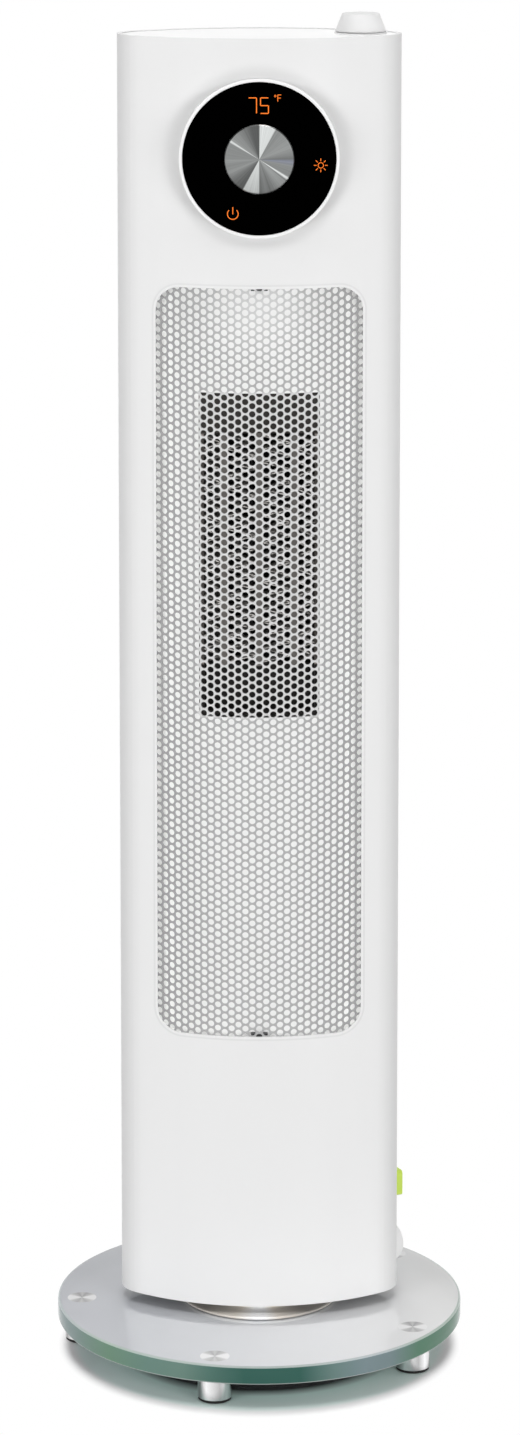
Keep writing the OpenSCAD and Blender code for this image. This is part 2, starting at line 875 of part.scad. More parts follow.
// Short strip that joins a tab to the guide's edge
module guide_bridge(x, z, side) {
    block([x - tab_w / 2, tab_back - tab_t, min(z - side, z + side * tab_up)],
        [x + tab_w / 2, tab_back, max(z - side, z + side * tab_up)]);
}

// Heater

module heater_frame() {
    color(dark) difference() {
        block([-core_w / 2, core_front, window_z - core_h / 2],
            [core_w / 2, core_back, window_z + core_h / 2]);
        block([-inner_w / 2, core_front - 1, fin_bottom], [inner_w / 2, core_back + 1, fin_top]);
        block([-inner_w / 2, core_front - 1, window_z - core_h / 2 + rail_t],
            [inner_w / 2, core_back - 2, fin_bottom + 1]);
        for (i = [-1 : 1]) block([i * strip_pitch - strip_w / 2 - slip, fin_front, fin_top - 1],
            [i * strip_pitch + strip_w / 2 + slip, fin_back, window_top + 1]);
    }
}

module heater_strips() {
    color(pale) for (i = [-1 : 1])
        block([i * strip_pitch - strip_w / 2, fin_front, fin_bottom + slip],
            [i * strip_pitch + strip_w / 2, fin_back, window_top - gap]);
}

// Corrugated strip of fin metal, folded to and fro across a column
module fin_column(x0, x1) {
    folds = floor((fin_h - 4) / fin_pitch);
    step = (fin_h - 4) / folds;
    translate([0, fin_back, 0]) rotate([90, 0, 0]) linear_extrude(fin_back - fin_front)
        for (i = [0 : folds - 1]) {
            from = [i % 2 == 0 ? x0 : x1, fin_bottom + 2 + i * step];
            to = [i % 2 == 0 ? x1 : x0, fin_bottom + 2 + (i + 1) * step];
            polygon([from, to, to + [0, fin_t], from + [0, fin_t]]);
        }
}

module heater_fins() {
    side = strip_w / 2 + slip;
    color(steel) {
        fin_column(-inner_w / 2 + slip, -strip_pitch - side);
        fin_column(-strip_pitch + side, -side);
        fin_column(side, strip_pitch - side);
        fin_column(strip_pitch + side, inner_w / 2 - slip);
    }
}

module heater_terminals() {
    color(copper) for (i = [-1 : 1])
        block([i * strip_pitch - 0.4, fin_front + 2, window_top - gap],
            [i * strip_pitch + 0.4, fin_back - 1, window_top + 8]);
}

module thermal_cutout() {
    z = window_z + core_h / 2;
    color(steel) translate([cutout_x, cutout_y, 0]) {
        rod(5, z, z + 5);
        rod(2, z + 4, z + 7);
    }
}

module thermal_fuse() {
    z = window_z + core_h / 2;
    color(white) translate([fuse_x, core_front + 6.5, z + 2]) rotate([0, 90, 0]) {
        translate([0, 0, -4.5]) cylinder(r = 2, h = 9, $fn = 32);
    }
}

// Blower

function scroll_r(a) = scroll_end_r + (scroll_start_r - scroll_end_r) * (scroll_to - a)
    / (scroll_to - scroll_from);
function scroll_line(out) = [for (a = [scroll_from : 5 : scroll_to])
    [(scroll_r(a) + out) * cos(a), wheel_y + (scroll_r(a) + out) * sin(a)]];
function reversed(list) = [for (i = [len(list) - 1 : -1 : 0]) list[i]];

module scroll_wall() {
    inside = concat([[duct_x, core_back]], scroll_line(0));
    outside = concat([[duct_x + scroll_t, core_back]], scroll_line(scroll_t));
    polygon(concat(inside, reversed(outside)));
}

module tongue_wall() {
    tip = [(wheel_r + 1.5) * cos(tongue_angle), wheel_y + (wheel_r + 1.5) * sin(tongue_angle)];
    polygon([[-duct_x - scroll_t, core_back], [-duct_x + 2, core_back], tip + [-0.5, -0.5],
        tip + [-0.8, 1.2], [-duct_x - scroll_t, core_back + 4]]);
}

// Plan of the blower's end plates
module blower_plate(z0) {
    translate([0, 0, z0]) linear_extrude(plate_t) difference() {
        union() {
            translate([-duct_x - scroll_t, core_back]) square([2 * (duct_x + scroll_t),
                wheel_y - core_back]);
            translate([0, wheel_y]) circle(r = wheel_r + 2.5, $fn = 72);
        }
        translate([0, wheel_y]) circle(r = hub_bore_r, $fn = 48);
    }
}

module blower_housing() {
    z1 = housing_z1;
    flange_w = stay_x + stay_r;
    color(pale) difference() {
        union() {
            blower_plate(housing_z0);
            translate([0, 0, housing_z0]) linear_extrude(z1 - housing_z0) scroll_wall();
            translate([0, 0, housing_z0]) linear_extrude(z1 - housing_z0) tongue_wall();
            difference() {
                block([-flange_w, core_back, housing_z0],
                    [flange_w, core_back + 1.5, window_z + core_h / 2]);
                block([-inner_w / 2, core_back - 1, fin_bottom],
                    [inner_w / 2, core_back + 2, fin_top]);
            }
        }
        at_motor_screws() rod(screw_r + hair, housing_z0 - 1, housing_z0 + plate_t + 1);
        at_stays() rod_y(screw_r + hair, 0, 0, core_back - 1, core_back + 2);
    }
}

module at_motor_screws() {
    translate([0, wheel_y, 0]) on_ring(motor_r - 4, 2, 45) children();
}

module blower_top_plate() {
    color(pale) difference() {
        blower_plate(housing_z1);
        block([-cab_w, core_back - 1, housing_z1 - 1], [cab_w, core_back + 1.5 + slip,
            housing_z1 + plate_t + 1]);
    }
}

module blade() {
    in_r = wheel_r - 6;
    out_r = wheel_r;
    bow = [for (k = [0 : 4]) spin([in_r + k / 4 * (out_r - in_r), 0], 4 * k + 5 * sin(45 * k))];
    bow_back = [for (k = [0 : 4]) spin([in_r + k / 4 * (out_r - in_r), 0],
        4 * k + 5 * sin(45 * k) + blade_t / (in_r + k / 4 * (out_r - in_r)) * 180 / PI)];
    polygon(concat(bow, reversed(bow_back)));
}

module blower_wheel() {
    mid = (wheel_z0 + wheel_z1) / 2;
    color(dark) translate([0, wheel_y, 0]) difference() {
        union() {
            rod(wheel_r, wheel_z0, wheel_z0 + disc_t);
            rod(wheel_r, wheel_z1 - disc_t, wheel_z1);
            difference() {
                rod(wheel_r, mid - disc_t / 2, mid + disc_t / 2);
                rod(wheel_r - 7, mid - disc_t, mid + disc_t);
            }
            for (i = [0 : blade_count - 1]) rotate([0, 0, i * 360 / blade_count])
                translate([0, 0, wheel_z0 + disc_t / 2])
                    linear_extrude(wheel_z1 - wheel_z0 - disc_t) intersection() {
                        blade();
                        circle(r = wheel_r - 0.2, $fn = 120);
                    }
            rod(hub_bore_r - 1, wheel_z0 + 1, wheel_z0 + hub_len);
            rod(pin_r, wheel_z1 - 1, housing_z1 + plate_t + 4);
        }
        rod(shaft_r + hair / 2, wheel_z0 - 1, wheel_z0 + hub_len - 2);
    }
}

module wheel_bush() {
    color(black) translate([0, wheel_y, 0]) difference() {
        union() {
            rod(top_bush_r, housing_z1, housing_z1 + plate_t + 1);
            rod(hub_bore_r + 1.5, housing_z1 + plate_t, housing_z1 + plate_t + 2.5);
        }
        rod(pin_r + hair, housing_z1 - 1, housing_z1 + 10);
    }
}

module motor_bracket() {
    color(steel) translate([0, wheel_y, 0]) difference() {
        rod(motor_r + slip, motor_top, housing_z0);
        rod(hub_bore_r, motor_top - 1, housing_z0 + 1);
        on_ring(motor_r - 4, 2, 45) rod(screw_r + hair, motor_top - 1, housing_z0 + 1);
    }
}

module blower_motor() {
    color(steel) translate([0, wheel_y, 0]) difference() {
        rod(motor_r, motor_top - motor_h, motor_top);
        difference() {
            rod(motor_r - can_t, motor_top - motor_h + can_t, motor_top - can_t);
            on_ring(motor_r - 4, 2, 45) rod(screw_r + 1, motor_top - pilot_deep, motor_top);
        }
        rod(shaft_r + hair, motor_top - motor_h - 1, motor_top + 1);
        on_ring(motor_r - 4, 2, 45) rod(screw_r + hair, motor_top - pilot_deep, motor_top + 1);
    }
}

module motor_rotor() {
    drum_r = motor_r - 4 - screw_r - 1 - 0.5;
    color(copper) translate([0, wheel_y, 0]) {
        rod(drum_r, motor_top - motor_h + can_t + 3, motor_top - can_t - 3);
        rod(shaft_r, motor_top - motor_h - 2, wheel_z0 + hub_len - 3);
    }
}

module intake_screen() {
    z0 = louvre_z0 - 4;
    z1 = louvre_z0 + louvre_count * louvre_pitch + 4;
    out_r = face_r - wall - slip;
    color(dark) intersection() {
        difference() {
            translate([0, -face_c, z0]) cylinder(r = out_r, h = z1 - z0, $fn = 240);
            translate([0, -face_c, z0 - 1]) cylinder(r = out_r - 0.6, h = z1 - z0 + 2, $fn = 240);
        }
        block([-louvre_w / 2 - 4, 0, z0], [louvre_w / 2 + 4, cab_d, z1]);
    }
}

// Dial

module dial_bezel() {
    color(white) difference() {
        union() {
            rod_y(dial_r, 0, dial_z, bezel_front, bezel_back);
            intersection() {
                rod_y(dial_ear_up + dial_ear_r, 0, dial_z, ear_back, ear_back + tab_t);
                block([-dial_ear_r, -half_d, dial_z - dial_r - 20], [dial_ear_r, 0,
                    dial_z + dial_r + 20]);
            }
        }
        at_dial_ears() rod_y(screw_r + hair, 0, 0, -half_d, 0);
        rod_y(dial_r - bezel_wall, 0, dial_z, bezel_front - 1, lens_back);
        rod_y(dial_r - bezel_wall, 0, dial_z, floor_back, bezel_back + 1);
        rod_y(knob_boss_r + gap, 0, dial_z, lens_back - 1, floor_back + 1);
        display_windows(lens_back - 1, floor_back + 1);
    }
}

module display_windows(y0, y1) {
    block([-digits_box[0] / 2, y0, dial_z + digits_up - digits_box[1] / 2],
        [digits_box[0] / 2, y1, dial_z + digits_up + digits_box[1] / 2]);
    for (p = lamp_places) block([p[0] - lamp_size / 2, y0, dial_z + p[1] - lamp_size / 2],
        [p[0] + lamp_size / 2, y1, dial_z + p[1] + lamp_size / 2]);
}

module dial_lens() {
    color(black) difference() {
        rod_y(lens_r, 0, dial_z, lens_front, lens_back);
        rod_y(knob_boss_r + gap, 0, dial_z, lens_front - 1, lens_back + 1);
    }
}

module dial_knob() {
    face = lens_front - knob_proud;
    color(steel) difference() {
        union() {
            rod_y(knob_r, 0, dial_z, face, lens_front - gap);
            rod_y(knob_boss_r, 0, dial_z, face + 1, floor_back - gap);
        }
        rod_y(spindle_r + hair / 2, 0, dial_z, face + 1.5, floor_back + 1);
    }
}

module knob_encoder() {
    color(dark) difference() {
        block([-6.5, floor_back + slip, dial_z - 6.5], [6.5, board_front, dial_z + 6.5]);
        rod_y(spindle_r + hair, 0, dial_z, floor_back - 1, board_front - 1);
    }
}

module dial_spindle() {
    color(steel) rod_y(spindle_r, 0, dial_z, lens_front - knob_proud + 2, board_front - 1.5);
}

module display_board() {
    color(board_green) rod_y(board_r, 0, dial_z, board_front, board_front + board_t);
}

module display_leds() {
    color("orange") {
        block([-digits_box[0] / 2 + gap, lens_back, dial_z + digits_up - digits_box[1] / 2 + gap],
            [digits_box[0] / 2 - gap, board_front, dial_z + digits_up + digits_box[1] / 2 - gap]);
        for (p = lamp_places)
            block([p[0] - lamp_size / 2 + gap, lens_back, dial_z + p[1] - lamp_size / 2 + gap],
                [p[0] + lamp_size / 2 - gap, board_front, dial_z + p[1] + lamp_size / 2 - gap]);
    }
}

// Top knob

module selector_knob() {
    bore_top = knob_z + selector_h - 2;
    color(pale) translate([selector_x, selector_y, 0]) difference() {
        translate([0, 0, knob_z]) rotate_extrude($fn = 96) polygon([[0, 0], [selector_r, 0],
            [selector_r, 0.8], [selector_top_r, selector_h], [0, selector_h]]);
        difference() {
            rod(selector_hollow_r, knob_z - 1, bore_top - 1);
            rod(neck_out_r - 0.3, knob_z + neck_up + nut_h, bore_top);
        }
        rod(pin_r + hair / 2, knob_z, bore_top);
    }
}

module selector_switch() {
    z1 = cover_top - cover_t;
    color(dark) translate([selector_x, selector_y, 0]) difference() {
        union() {
            block([-switch_box[0] / 2, -switch_box[1] / 2, z1 - switch_box[2]],
                [switch_box[0] / 2, switch_box[1] / 2, z1]);
            rod(neck_out_r, z1 - 1, cover_top + plinth_h + neck_up);
        }
        rod(pin_r + hair, z1 - switch_box[2] + 2, cab_z1 + 10);
    }
}

module selector_shaft() {
    color(steel) translate([selector_x, selector_y, 0])
        rod(pin_r, cover_top - cover_t - switch_box[2] + 2.5, knob_z + selector_h - 2.5);
}

module selector_nut() {
    z = cover_top + plinth_h;
    color(steel) translate([selector_x, selector_y, 0]) difference() {
        translate([0, 0, z]) cylinder(r = nut_r, h = nut_h, $fn = 6);
        rod(neck_out_r + hair, z - 1, z + nut_h + 1);
    }
}

// Power button and cord outlet

// Block with rounded edges along the skin frame's X
module button_block(w, h, corner, x0, x1) {
    translate([x0, 0, 0]) rotate([90, 0, 90]) linear_extrude(x1 - x0) rounded_plate(w, h, corner);
}

module power_button() {
    color(lime) at_end(button_angle, button_z) {
        button_block(button_w, button_h, button_round, -cap_in, button_proud);
        rod_x(stem_r, -cap_in - stem_len, -cap_in + 1);
    }
}

module power_switch() {
    w = button_w + 2 * (gap + switch_side);
    h = button_h + 2 * (gap + switch_side);
    pocket = cap_in + button_travel + 2 * gap;
    color(dark) at_end(button_angle, button_z) difference() {
        button_block(w, h, 1, switch_front - switch_deep, switch_front);
        button_block(button_w + 2 * gap, button_h + 2 * gap, button_round + gap, -pocket, 0);
        rod_x(stem_r + gap, -cap_in - stem_len - button_travel - 2 * gap, 0);
    }
}

module cord_outlet() {
    color(white) at_end(outlet_angle, outlet_z) difference() {
        rod_x(outlet_r, -outlet_in, outlet_proud);
        rod_x(outlet_r - 1.6, -outlet_in - 1, outlet_proud - outlet_face_t);
        rod_x(gland_r + slip, -outlet_in - 1, outlet_proud + 1);
    }
}

module cord_gland() {
    color(pale) at_end(outlet_angle, outlet_z) difference() {
        union() {
            rod_x(gland_r, -6, outlet_proud + 0.8);
            rod_x(gland_r + 1.6, outlet_proud, outlet_proud + 0.8);
        }
        rod_x(cord_hole_r, -7, outlet_proud + 2);
    }
}

// Electronics

module power_board() {
    color(board_green) difference() {
        block([-board_size[0] / 2, board_y, board_z0],
            [board_size[0] / 2, board_y + board_t, board_z0 + board_size[1]]);
        board_posts(screw_r + hair, board_y - 1, board_y + board_t + 1);
    }
}

// Box on the front of the power board, from its middle, its sizes and its height
module on_board(x, z, w, h, tall) {
    block([x - w / 2, board_y - tall, board_z0 + z - h / 2], [x + w / 2, board_y, board_z0 + z + h / 2]);
}

module board_parts() {
    color("royalblue") for (x = relay_x)
        on_board(x, board_size[1] * 3 / 4, relay_box[0], relay_box[1], relay_box[2]);
    color("gold") on_board(supply_place[0], supply_place[1], supply_box[0], supply_box[1],
        supply_box[2]);
    color(dark) rod_y(capacitor_r, capacitor_place[0], board_z0 + capacitor_place[1],
        board_y - capacitor_h, board_y);
    color("white") on_board(plug_place[0], plug_place[1], plug_box[0], plug_box[1], plug_box[2]);
}

// Swing motor and pinion

module oscillation_motor() {
    ear_z = drive_plate_z;
    color(steel) difference() {
        union() {
            translate([swing_motor_x, 0, 0]) rod(swing_motor_r, ear_z, ear_z + swing_motor_h);
            for (y = [-1, 1]) translate([swing_motor_x, y * drive_post_y, 0])
                rod(drive_post_r, ear_z, ear_z + 1);
            block([swing_motor_x - drive_post_r, -drive_post_y, ear_z],
                [swing_motor_x + drive_post_r, drive_post_y, ear_z + 1]);
        }
        translate([gear_gap, 0, 0]) rod(drive_shaft_r + hair, ear_z - 1, ear_z + 8);
        for (y = [-1, 1]) translate([swing_motor_x, y * drive_post_y, 0])
            rod(screw_r + hair, ear_z - 1, ear_z + 2);
    }
}

module drive_pinion() {
    color(white) translate([gear_gap, 0, 0]) {
        translate([0, 0, gear_z]) linear_extrude(gear_w) rotate(180 / pinion_teeth)
            polygon(gear_outline(gear_m, pinion_teeth, 0.14, 0, pinion_teeth - 1));
        rod(drive_shaft_r, gear_z, drive_plate_z + 7);
    }
}

// Tip-over switch

module tilt_bracket() {
    color(pale) difference() {
        union() {
            block([tilt_x - cheek_w / 2, -cheek_y - cheek_t, tilt_z0],
                [tilt_x + cheek_w / 2, cheek_y + cheek_t, tilt_z0 + 2]);
            for (y = [-cheek_y - cheek_t, cheek_y]) block([tilt_x - cheek_w / 2, y, tilt_z0],
                [tilt_x + cheek_w / 2, y + cheek_t, tilt_pin_z + cheek_over]);
        }
        rod_y(pin_hold_r + hair, tilt_x, tilt_pin_z, -cab_d, cab_d);
    }
}

module tilt_switch() {
    color(dark) block([tilt_x - cheek_w / 2, -cheek_y, tilt_pin_z + cheek_over - tilt_box_h],
        [tilt_x + cheek_w / 2, cheek_y, tilt_pin_z + cheek_over]);
}

module pendulum_pin() {
    color(steel) rod_y(pin_hold_r, tilt_x, tilt_pin_z, -cheek_y - cheek_t, cheek_y + cheek_t);
}

module tilt_pendulum() {
    bob_z = tilt_pin_z - pendulum_len;
    color(copper) difference() {
        union() {
            rod_y(4, tilt_x, tilt_pin_z, -cheek_y + 1, cheek_y - 1);
            block([tilt_x - 1.5, -2, bob_z + 2], [tilt_x + 1.5, 2, tilt_pin_z]);
            translate([tilt_x, 0, 0]) rod(pendulum_r, bob_z - 8, bob_z + 3);
        }
        rod_y(pin_hold_r + hair, tilt_x, tilt_pin_z, -cheek_y, cheek_y);
    }
}

// Inner leads, drawn as smooth tubes through chosen points

lead_r = 1.5;
board_top = board_z0 + board_size[1];
terminal_top = window_top + 8 + slip;
face_y = board_y - gap;
heater_y = core_front + 7;
function leads() = [
    // left, right and middle strips of the heater
    [[-36, face_y, board_top - 20], [-36, 12, board_top - 20], [-42, 8, board_top + 2],
        [-44, 5, board_top + 45], [-44, 3, window_z], [-43, 0, window_top - 10],
        [-38, -6, window_top + 12], [-28, heater_y + 2, terminal_top + 12],
        [-strip_pitch, heater_y, terminal_top + 8], [-strip_pitch, heater_y, terminal_top]],
    [[36, face_y, board_top - 20], [36, 12, board_top - 20], [40, 8, board_top + 2],
        [41, 5, board_top + 45], [41, 3, window_z], [41, 0, window_top - 10],
        [38, -6, window_top + 12], [28, heater_y + 2, terminal_top + 12],
        [strip_pitch, heater_y, terminal_top + 8], [strip_pitch, heater_y, terminal_top]],
    [[25, face_y, board_top - 12], [25, 11, board_top - 12], [36, 11, board_top + 14],
        [41, 12, board_top + 50], [41, 11, window_z], [41, 8, window_top - 10],
        [34, -2, window_top + 12], [14, heater_y + 3, terminal_top + 16],
        [0, heater_y, terminal_top + 9], [0, heater_y, terminal_top]],
    // display board
    [[18, face_y, board_top - 5], [18, 8, board_top - 5], [34, 0, board_top + 18],
        [46, -2, board_top + 56], [47, 2, window_z], [47, 2, window_top],
        [46, 2, dial_z - 60], [34, -6, dial_z - 34], [14, -12, dial_z - 20],
        [10, board_front + 12, dial_z - 18], [10, board_front + board_t + slip, dial_z - 18]],
    // top knob's switch
    [[10, face_y, board_top - 5], [10, 9, board_top - 4], [26, 18, board_top + 14],
        [47, 17, board_top + 56], [50, 13, window_z], [50, 11, window_top],
        [51, 10, dial_z - 40], [53, 5, switch_low - 24], [selector_x, selector_y, switch_low - 10],
        [selector_x, selector_y, switch_low - slip]],
    // blower motor
    [[-6, face_y, board_top - 8], [-6, 12, board_top - 8], [-4, 6, board_top + 8],
        [6, 4, board_top + 40], [10, wheel_y - 2, motor_low - 20],
        [11, wheel_y, motor_low - 8], [11, wheel_y, motor_low - slip]],
    // swing motor
    [[13, face_y, board_z0 + 7], [13, 10, board_z0 + 7], [20, 7, board_z0 - 12],
        [32, 2, board_z0 - 28], [swing_motor_x, 0, swing_motor_top + 12],
        [swing_motor_x, 0, swing_motor_top + slip]],
    // power switch, from its inner end
    [on_skin(button_angle, switch_back - slip, button_z),
        on_skin(button_angle, switch_back - 7, button_z),
        [40, 2, button_z + 14], [30, 8, board_z0 - 4], [24, 11, board_z0 + 7],
        [24, face_y, board_z0 + 7]],
    // tip-over switch
    [[tilt_x, 0, tilt_pin_z + cheek_over + slip], [tilt_x, 0, tilt_pin_z + cheek_over + 8],
        [-44, 6, board_z0 - 8], [-36, 12, board_z0 + 14], [-35, 12, board_z0 + 22],
        [-35, face_y, board_z0 + 22]],
    // cord side of the power switch
    [on_skin(outlet_angle, -4, outlet_z), on_skin(outlet_angle, -10, outlet_z),
        [end_x + 4, 4, outlet_z + 10], on_skin(button_angle, switch_front - 7, button_z - 20),
        on_skin(button_angle, switch_front - 7, button_z - switch_half_h - slip)]
];
switch_back = switch_front - switch_deep;
switch_low = cover_top - cover_t - switch_box[2];
motor_low = motor_top - motor_h;
swing_motor_top = drive_plate_z + swing_motor_h;
switch_half_h = button_h / 2 + gap + switch_side;

function on_skin(angle, x, z) = [end_x + (end_r + x) * cos(angle), (end_r + x) * sin(angle), z];
function unit(v) = v / norm(v);
function point_at(p, i) = i < 0 ? 2 * p[0] - p[1] : i >= len(p)
    ? 2 * p[len(p) - 1] - p[len(p) - 2] : p[i];
function between(a, b, c, d, t) = 0.5 * (2 * b + (c - a) * t + (2 * a - 5 * b + 4 * c - d) * t * t
    + (3 * b - a - 3 * c + d) * t * t * t);
function smooth(p) = concat([for (i = [0 : len(p) - 2])
    let (n = max(2, round(norm(p[i + 1] - p[i]) / 9)))
    each [for (k = [0 : n - 1])
        between(point_at(p, i - 1), p[i], p[i + 1], point_at(p, i + 2), k / n)]],
    [p[len(p) - 1]]);
function headings(route, path) =
    let (last = len(route) - 1)
    [for (i = [0 : len(path) - 1]) unit(i == 0 ? route[1] - route[0]
        : i == len(path) - 1 ? route[last] - route[last - 1] : path[i + 1] - path[i - 1])];
function carried(ways, side, i = 0) = i == len(ways) ? [] :
    let (s = unit(side - (side * ways[i]) * ways[i]))
    concat([s], carried(ways, s, i + 1));

module swept(route, r, count = 8) {
    path = smooth(route);
    ways = headings(route, path);
    n = len(path);
    sides = carried(ways, unit(cross(ways[0], [0.3, 0.5, 1])));
    points = [for (i = [0 : n - 1], k = [0 : count - 1])
        path[i] + r * (cos(360 * k / count) * sides[i]
            + sin(360 * k / count) * cross(sides[i], ways[i]))];
    walls = [for (i = [0 : n - 2], k = [0 : count - 1]) let (m = (k + 1) % count)
        each [[i * count + k, i * count + m, (i + 1) * count + m],
            [i * count + k, (i + 1) * count + m, (i + 1) * count + k]]];
    polyhedron(points, concat(walls, [[for (k = [count - 1 : -1 : 0]) k],
        [for (k = [0 : count - 1]) (n - 1) * count + k]]));
}

module wire_leads() {
    color("white") for (route = leads()) swept(route, lead_r);
}

glass_base();
foot_discs();
foot_pucks();
foot_pads();
base_gaskets();
pedestal();
hub_plate();
hub_screws();
thrust_washer();
sector_gear();
gear_screws();
swivel_bush();
bottom_cover();
front_shell();
rear_shell();
top_cover();
shell_screws();
cover_screws();
inner_screws();
front_grille();
grille_clips();
air_guide();
heater_frame();
heater_fins();
heater_strips();
heater_terminals();
thermal_cutout();
thermal_fuse();
blower_housing();
blower_top_plate();
blower_wheel();
wheel_bush();
blower_motor();
motor_rotor();
motor_bracket();
intake_screen();
dial_bezel();
dial_lens();
dial_knob();
dial_spindle();
knob_encoder();
display_board();
display_leds();
selector_knob();
selector_shaft();
selector_switch();
selector_nut();
power_button();
power_switch();
cord_outlet();
cord_gland();
power_board();
board_parts();
oscillation_motor();
drive_pinion();
tilt_bracket();
tilt_switch();
tilt_pendulum();
pendulum_pin();
wire_leads();
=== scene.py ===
import json
import math
import bpy
import bmesh
from mathutils import Matrix, Vector


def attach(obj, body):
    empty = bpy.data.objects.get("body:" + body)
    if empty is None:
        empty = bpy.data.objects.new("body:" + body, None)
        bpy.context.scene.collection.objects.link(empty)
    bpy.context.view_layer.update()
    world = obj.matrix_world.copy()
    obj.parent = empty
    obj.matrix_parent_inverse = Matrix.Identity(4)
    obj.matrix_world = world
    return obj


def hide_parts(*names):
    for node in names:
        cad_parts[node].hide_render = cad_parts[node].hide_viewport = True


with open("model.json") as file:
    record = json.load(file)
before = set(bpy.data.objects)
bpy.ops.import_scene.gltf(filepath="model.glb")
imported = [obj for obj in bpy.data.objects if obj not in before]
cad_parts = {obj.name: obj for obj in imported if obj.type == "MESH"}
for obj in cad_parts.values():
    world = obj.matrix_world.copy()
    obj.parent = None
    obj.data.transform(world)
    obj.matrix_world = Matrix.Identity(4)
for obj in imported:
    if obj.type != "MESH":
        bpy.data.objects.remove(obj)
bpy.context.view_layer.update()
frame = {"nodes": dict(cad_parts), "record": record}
nodes = frame["nodes"]
scene = bpy.context.scene
print("frame loaded:", len(nodes), "nodes")

# tilted a little and shifted the rest, which keeps upright edges nearly parallel
cameraPlan = {
    "place": (0, -2.442, 0.923),
    "pitchDown": 8.02,
    "lens": 116.6,
    "sensor": 36,
    "shift": (0.0005, -0.30),
    "clipEnd": 60,
}
bpy.ops.object.camera_add(location=cameraPlan["place"],
                          rotation=(math.radians(90 - cameraPlan["pitchDown"]), 0, 0))
camera = bpy.context.object
camera.data.sensor_width = cameraPlan["sensor"]
camera.data.lens = cameraPlan["lens"]
camera.data.shift_x, camera.data.shift_y = cameraPlan["shift"]
camera.data.clip_end = cameraPlan["clipEnd"]
scene.camera = camera
scene.view_settings.view_transform = "Standard"

softboxes = {
    # name: place, what it aims at, width, height, power, whether metal and glass mirror it
    "leftBox": ((-1.42, -1.82, 0.36), (0, 0, 0.34), 0.9, 1.0, 26.2, False),
    "rightBox": ((1.42, -1.82, 0.36), (0, 0, 0.34), 0.9, 1.0, 26.2, False),
    "leftSide": ((-2.2, 0.1, 0.6), (0, 0, 0.33), 0.6, 1.4, 8, False),
    "rightSide": ((2.2, 0.1, 0.6), (0, 0, 0.33), 0.6, 1.4, 8, False),
    "overhead": ((0, -0.2, 2.4), (0, 0, 0.4), 1.4, 1.4, 28, True),
    "rearBox": ((0, 2.3, 1.3), (0, 0, 0.36), 1.6, 1.2, 27, False),
}
for name, (place, aim, width, height, power, mirrored) in softboxes.items():
    lamp = bpy.data.lights.new(name, "AREA")
    lamp.shape, lamp.size, lamp.size_y, lamp.energy = "RECTANGLE", width, height, power
    lampObject = bpy.data.objects.new(name, lamp)
    scene.collection.objects.link(lampObject)
    lampObject.location = place
    lampObject.rotation_euler = (Vector(aim) - Vector(place)).to_track_quat("-Z", "Y").to_euler()
    lampObject.visible_glossy = mirrored


def feed(tree, node, inputs):
    # sets each input to its value, or links it where the value is a socket
    for name, value in inputs.items():
        target = node.inputs[name.replace("_", " ") if isinstance(name, str) else name]
        if isinstance(value, bpy.types.NodeSocket):
            tree.links.new(value, target)
        else:
            target.default_value = value


def addNode(tree, kind, inputs=None, **settings):
    node = tree.nodes.new("ShaderNode" + kind)
    for name, value in settings.items():
        setattr(node, name, value)
    feed(tree, node, inputs or {})
    return node


def calculate(tree, operation, *values):
    # one arithmetic node; each value is a number or a socket
    return addNode(tree, "Math", dict(enumerate(values)), operation=operation).outputs[0]


def vectorMath(tree, operation, *vectors):
    node = addNode(tree, "VectorMath", dict(enumerate(vectors)), operation=operation)
    return node.outputs["Value" if operation == "LENGTH" else "Vector"]


def ranged(tree, value, start, end, low=0.0, high=1.0, curve="LINEAR"):
    # goes from low to high while the value goes from start to end
    limits = {"From Min": start, "From Max": end, "To Min": low, "To Max": high}
    return addNode(tree, "MapRange", {"Value": value, **limits},
                   interpolation_type=curve).outputs["Result"]


def objectPlace(tree):
    return addNode(tree, "TexCoord").outputs["Object"]


def axesOf(tree, vector):
    return addNode(tree, "SeparateXYZ", {0: vector}).outputs


def mixShaders(tree, factor, first, second):
    return addNode(tree, "MixShader", {0: factor, 1: first.outputs[0], 2: second.outputs[0]})


def mixColours(tree, factor, first, second):
    mix = addNode(tree, "Mix", {"Factor": factor, "A": first, "B": second}, data_type="RGBA")
    return mix.outputs["Result"]


def colourRamp(tree, factor, stops):
    # a grey stop is made a trace bluer
    ramp = addNode(tree, "ValToRGB", {0: factor})
    elements = ramp.color_ramp.elements
    while len(elements) < len(stops):
        elements.new(0.5)
    for element, (position, colour) in zip(elements, stops):
        grey = not isinstance(colour, tuple)
        element.position = position
        element.color = (colour, colour, colour * 1.005, 1) if grey else (*colour, 1)
    return ramp.outputs["Color"]


def levels(tree, factor, stops):
    # a curve through number pairs, as a grey ramp of half their value
    grey = colourRamp(tree, factor, [(at, (value / 2,) * 3) for at, value in stops])
    return calculate(tree, "MULTIPLY", grey, 2.0)


def tinted(tree, colour, factor):
    # multiplies a colour by a grey value, each of them a socket
    inputs = {0: colour, "Scale": factor}
    return addNode(tree, "VectorMath", inputs, operation="SCALE").outputs["Vector"]


def tintBase(tree, shader, tone):
    plain = shader.inputs["Base Color"].links[0].from_socket
    feed(tree, shader, {"Base Color": tinted(tree, plain, tone)})


white = (1, 1, 1, 1)
surroundings = {"ambient": 0.16, "horizon": 1.0, "ceiling": 0.36,
                "horizonTop": 0.05, "ceilingStart": 0.3}
world = bpy.data.worlds.new("studio")
scene.world = world
world.use_nodes = True
tree = world.node_tree
tree.nodes.clear()
ray = addNode(tree, "LightPath").outputs
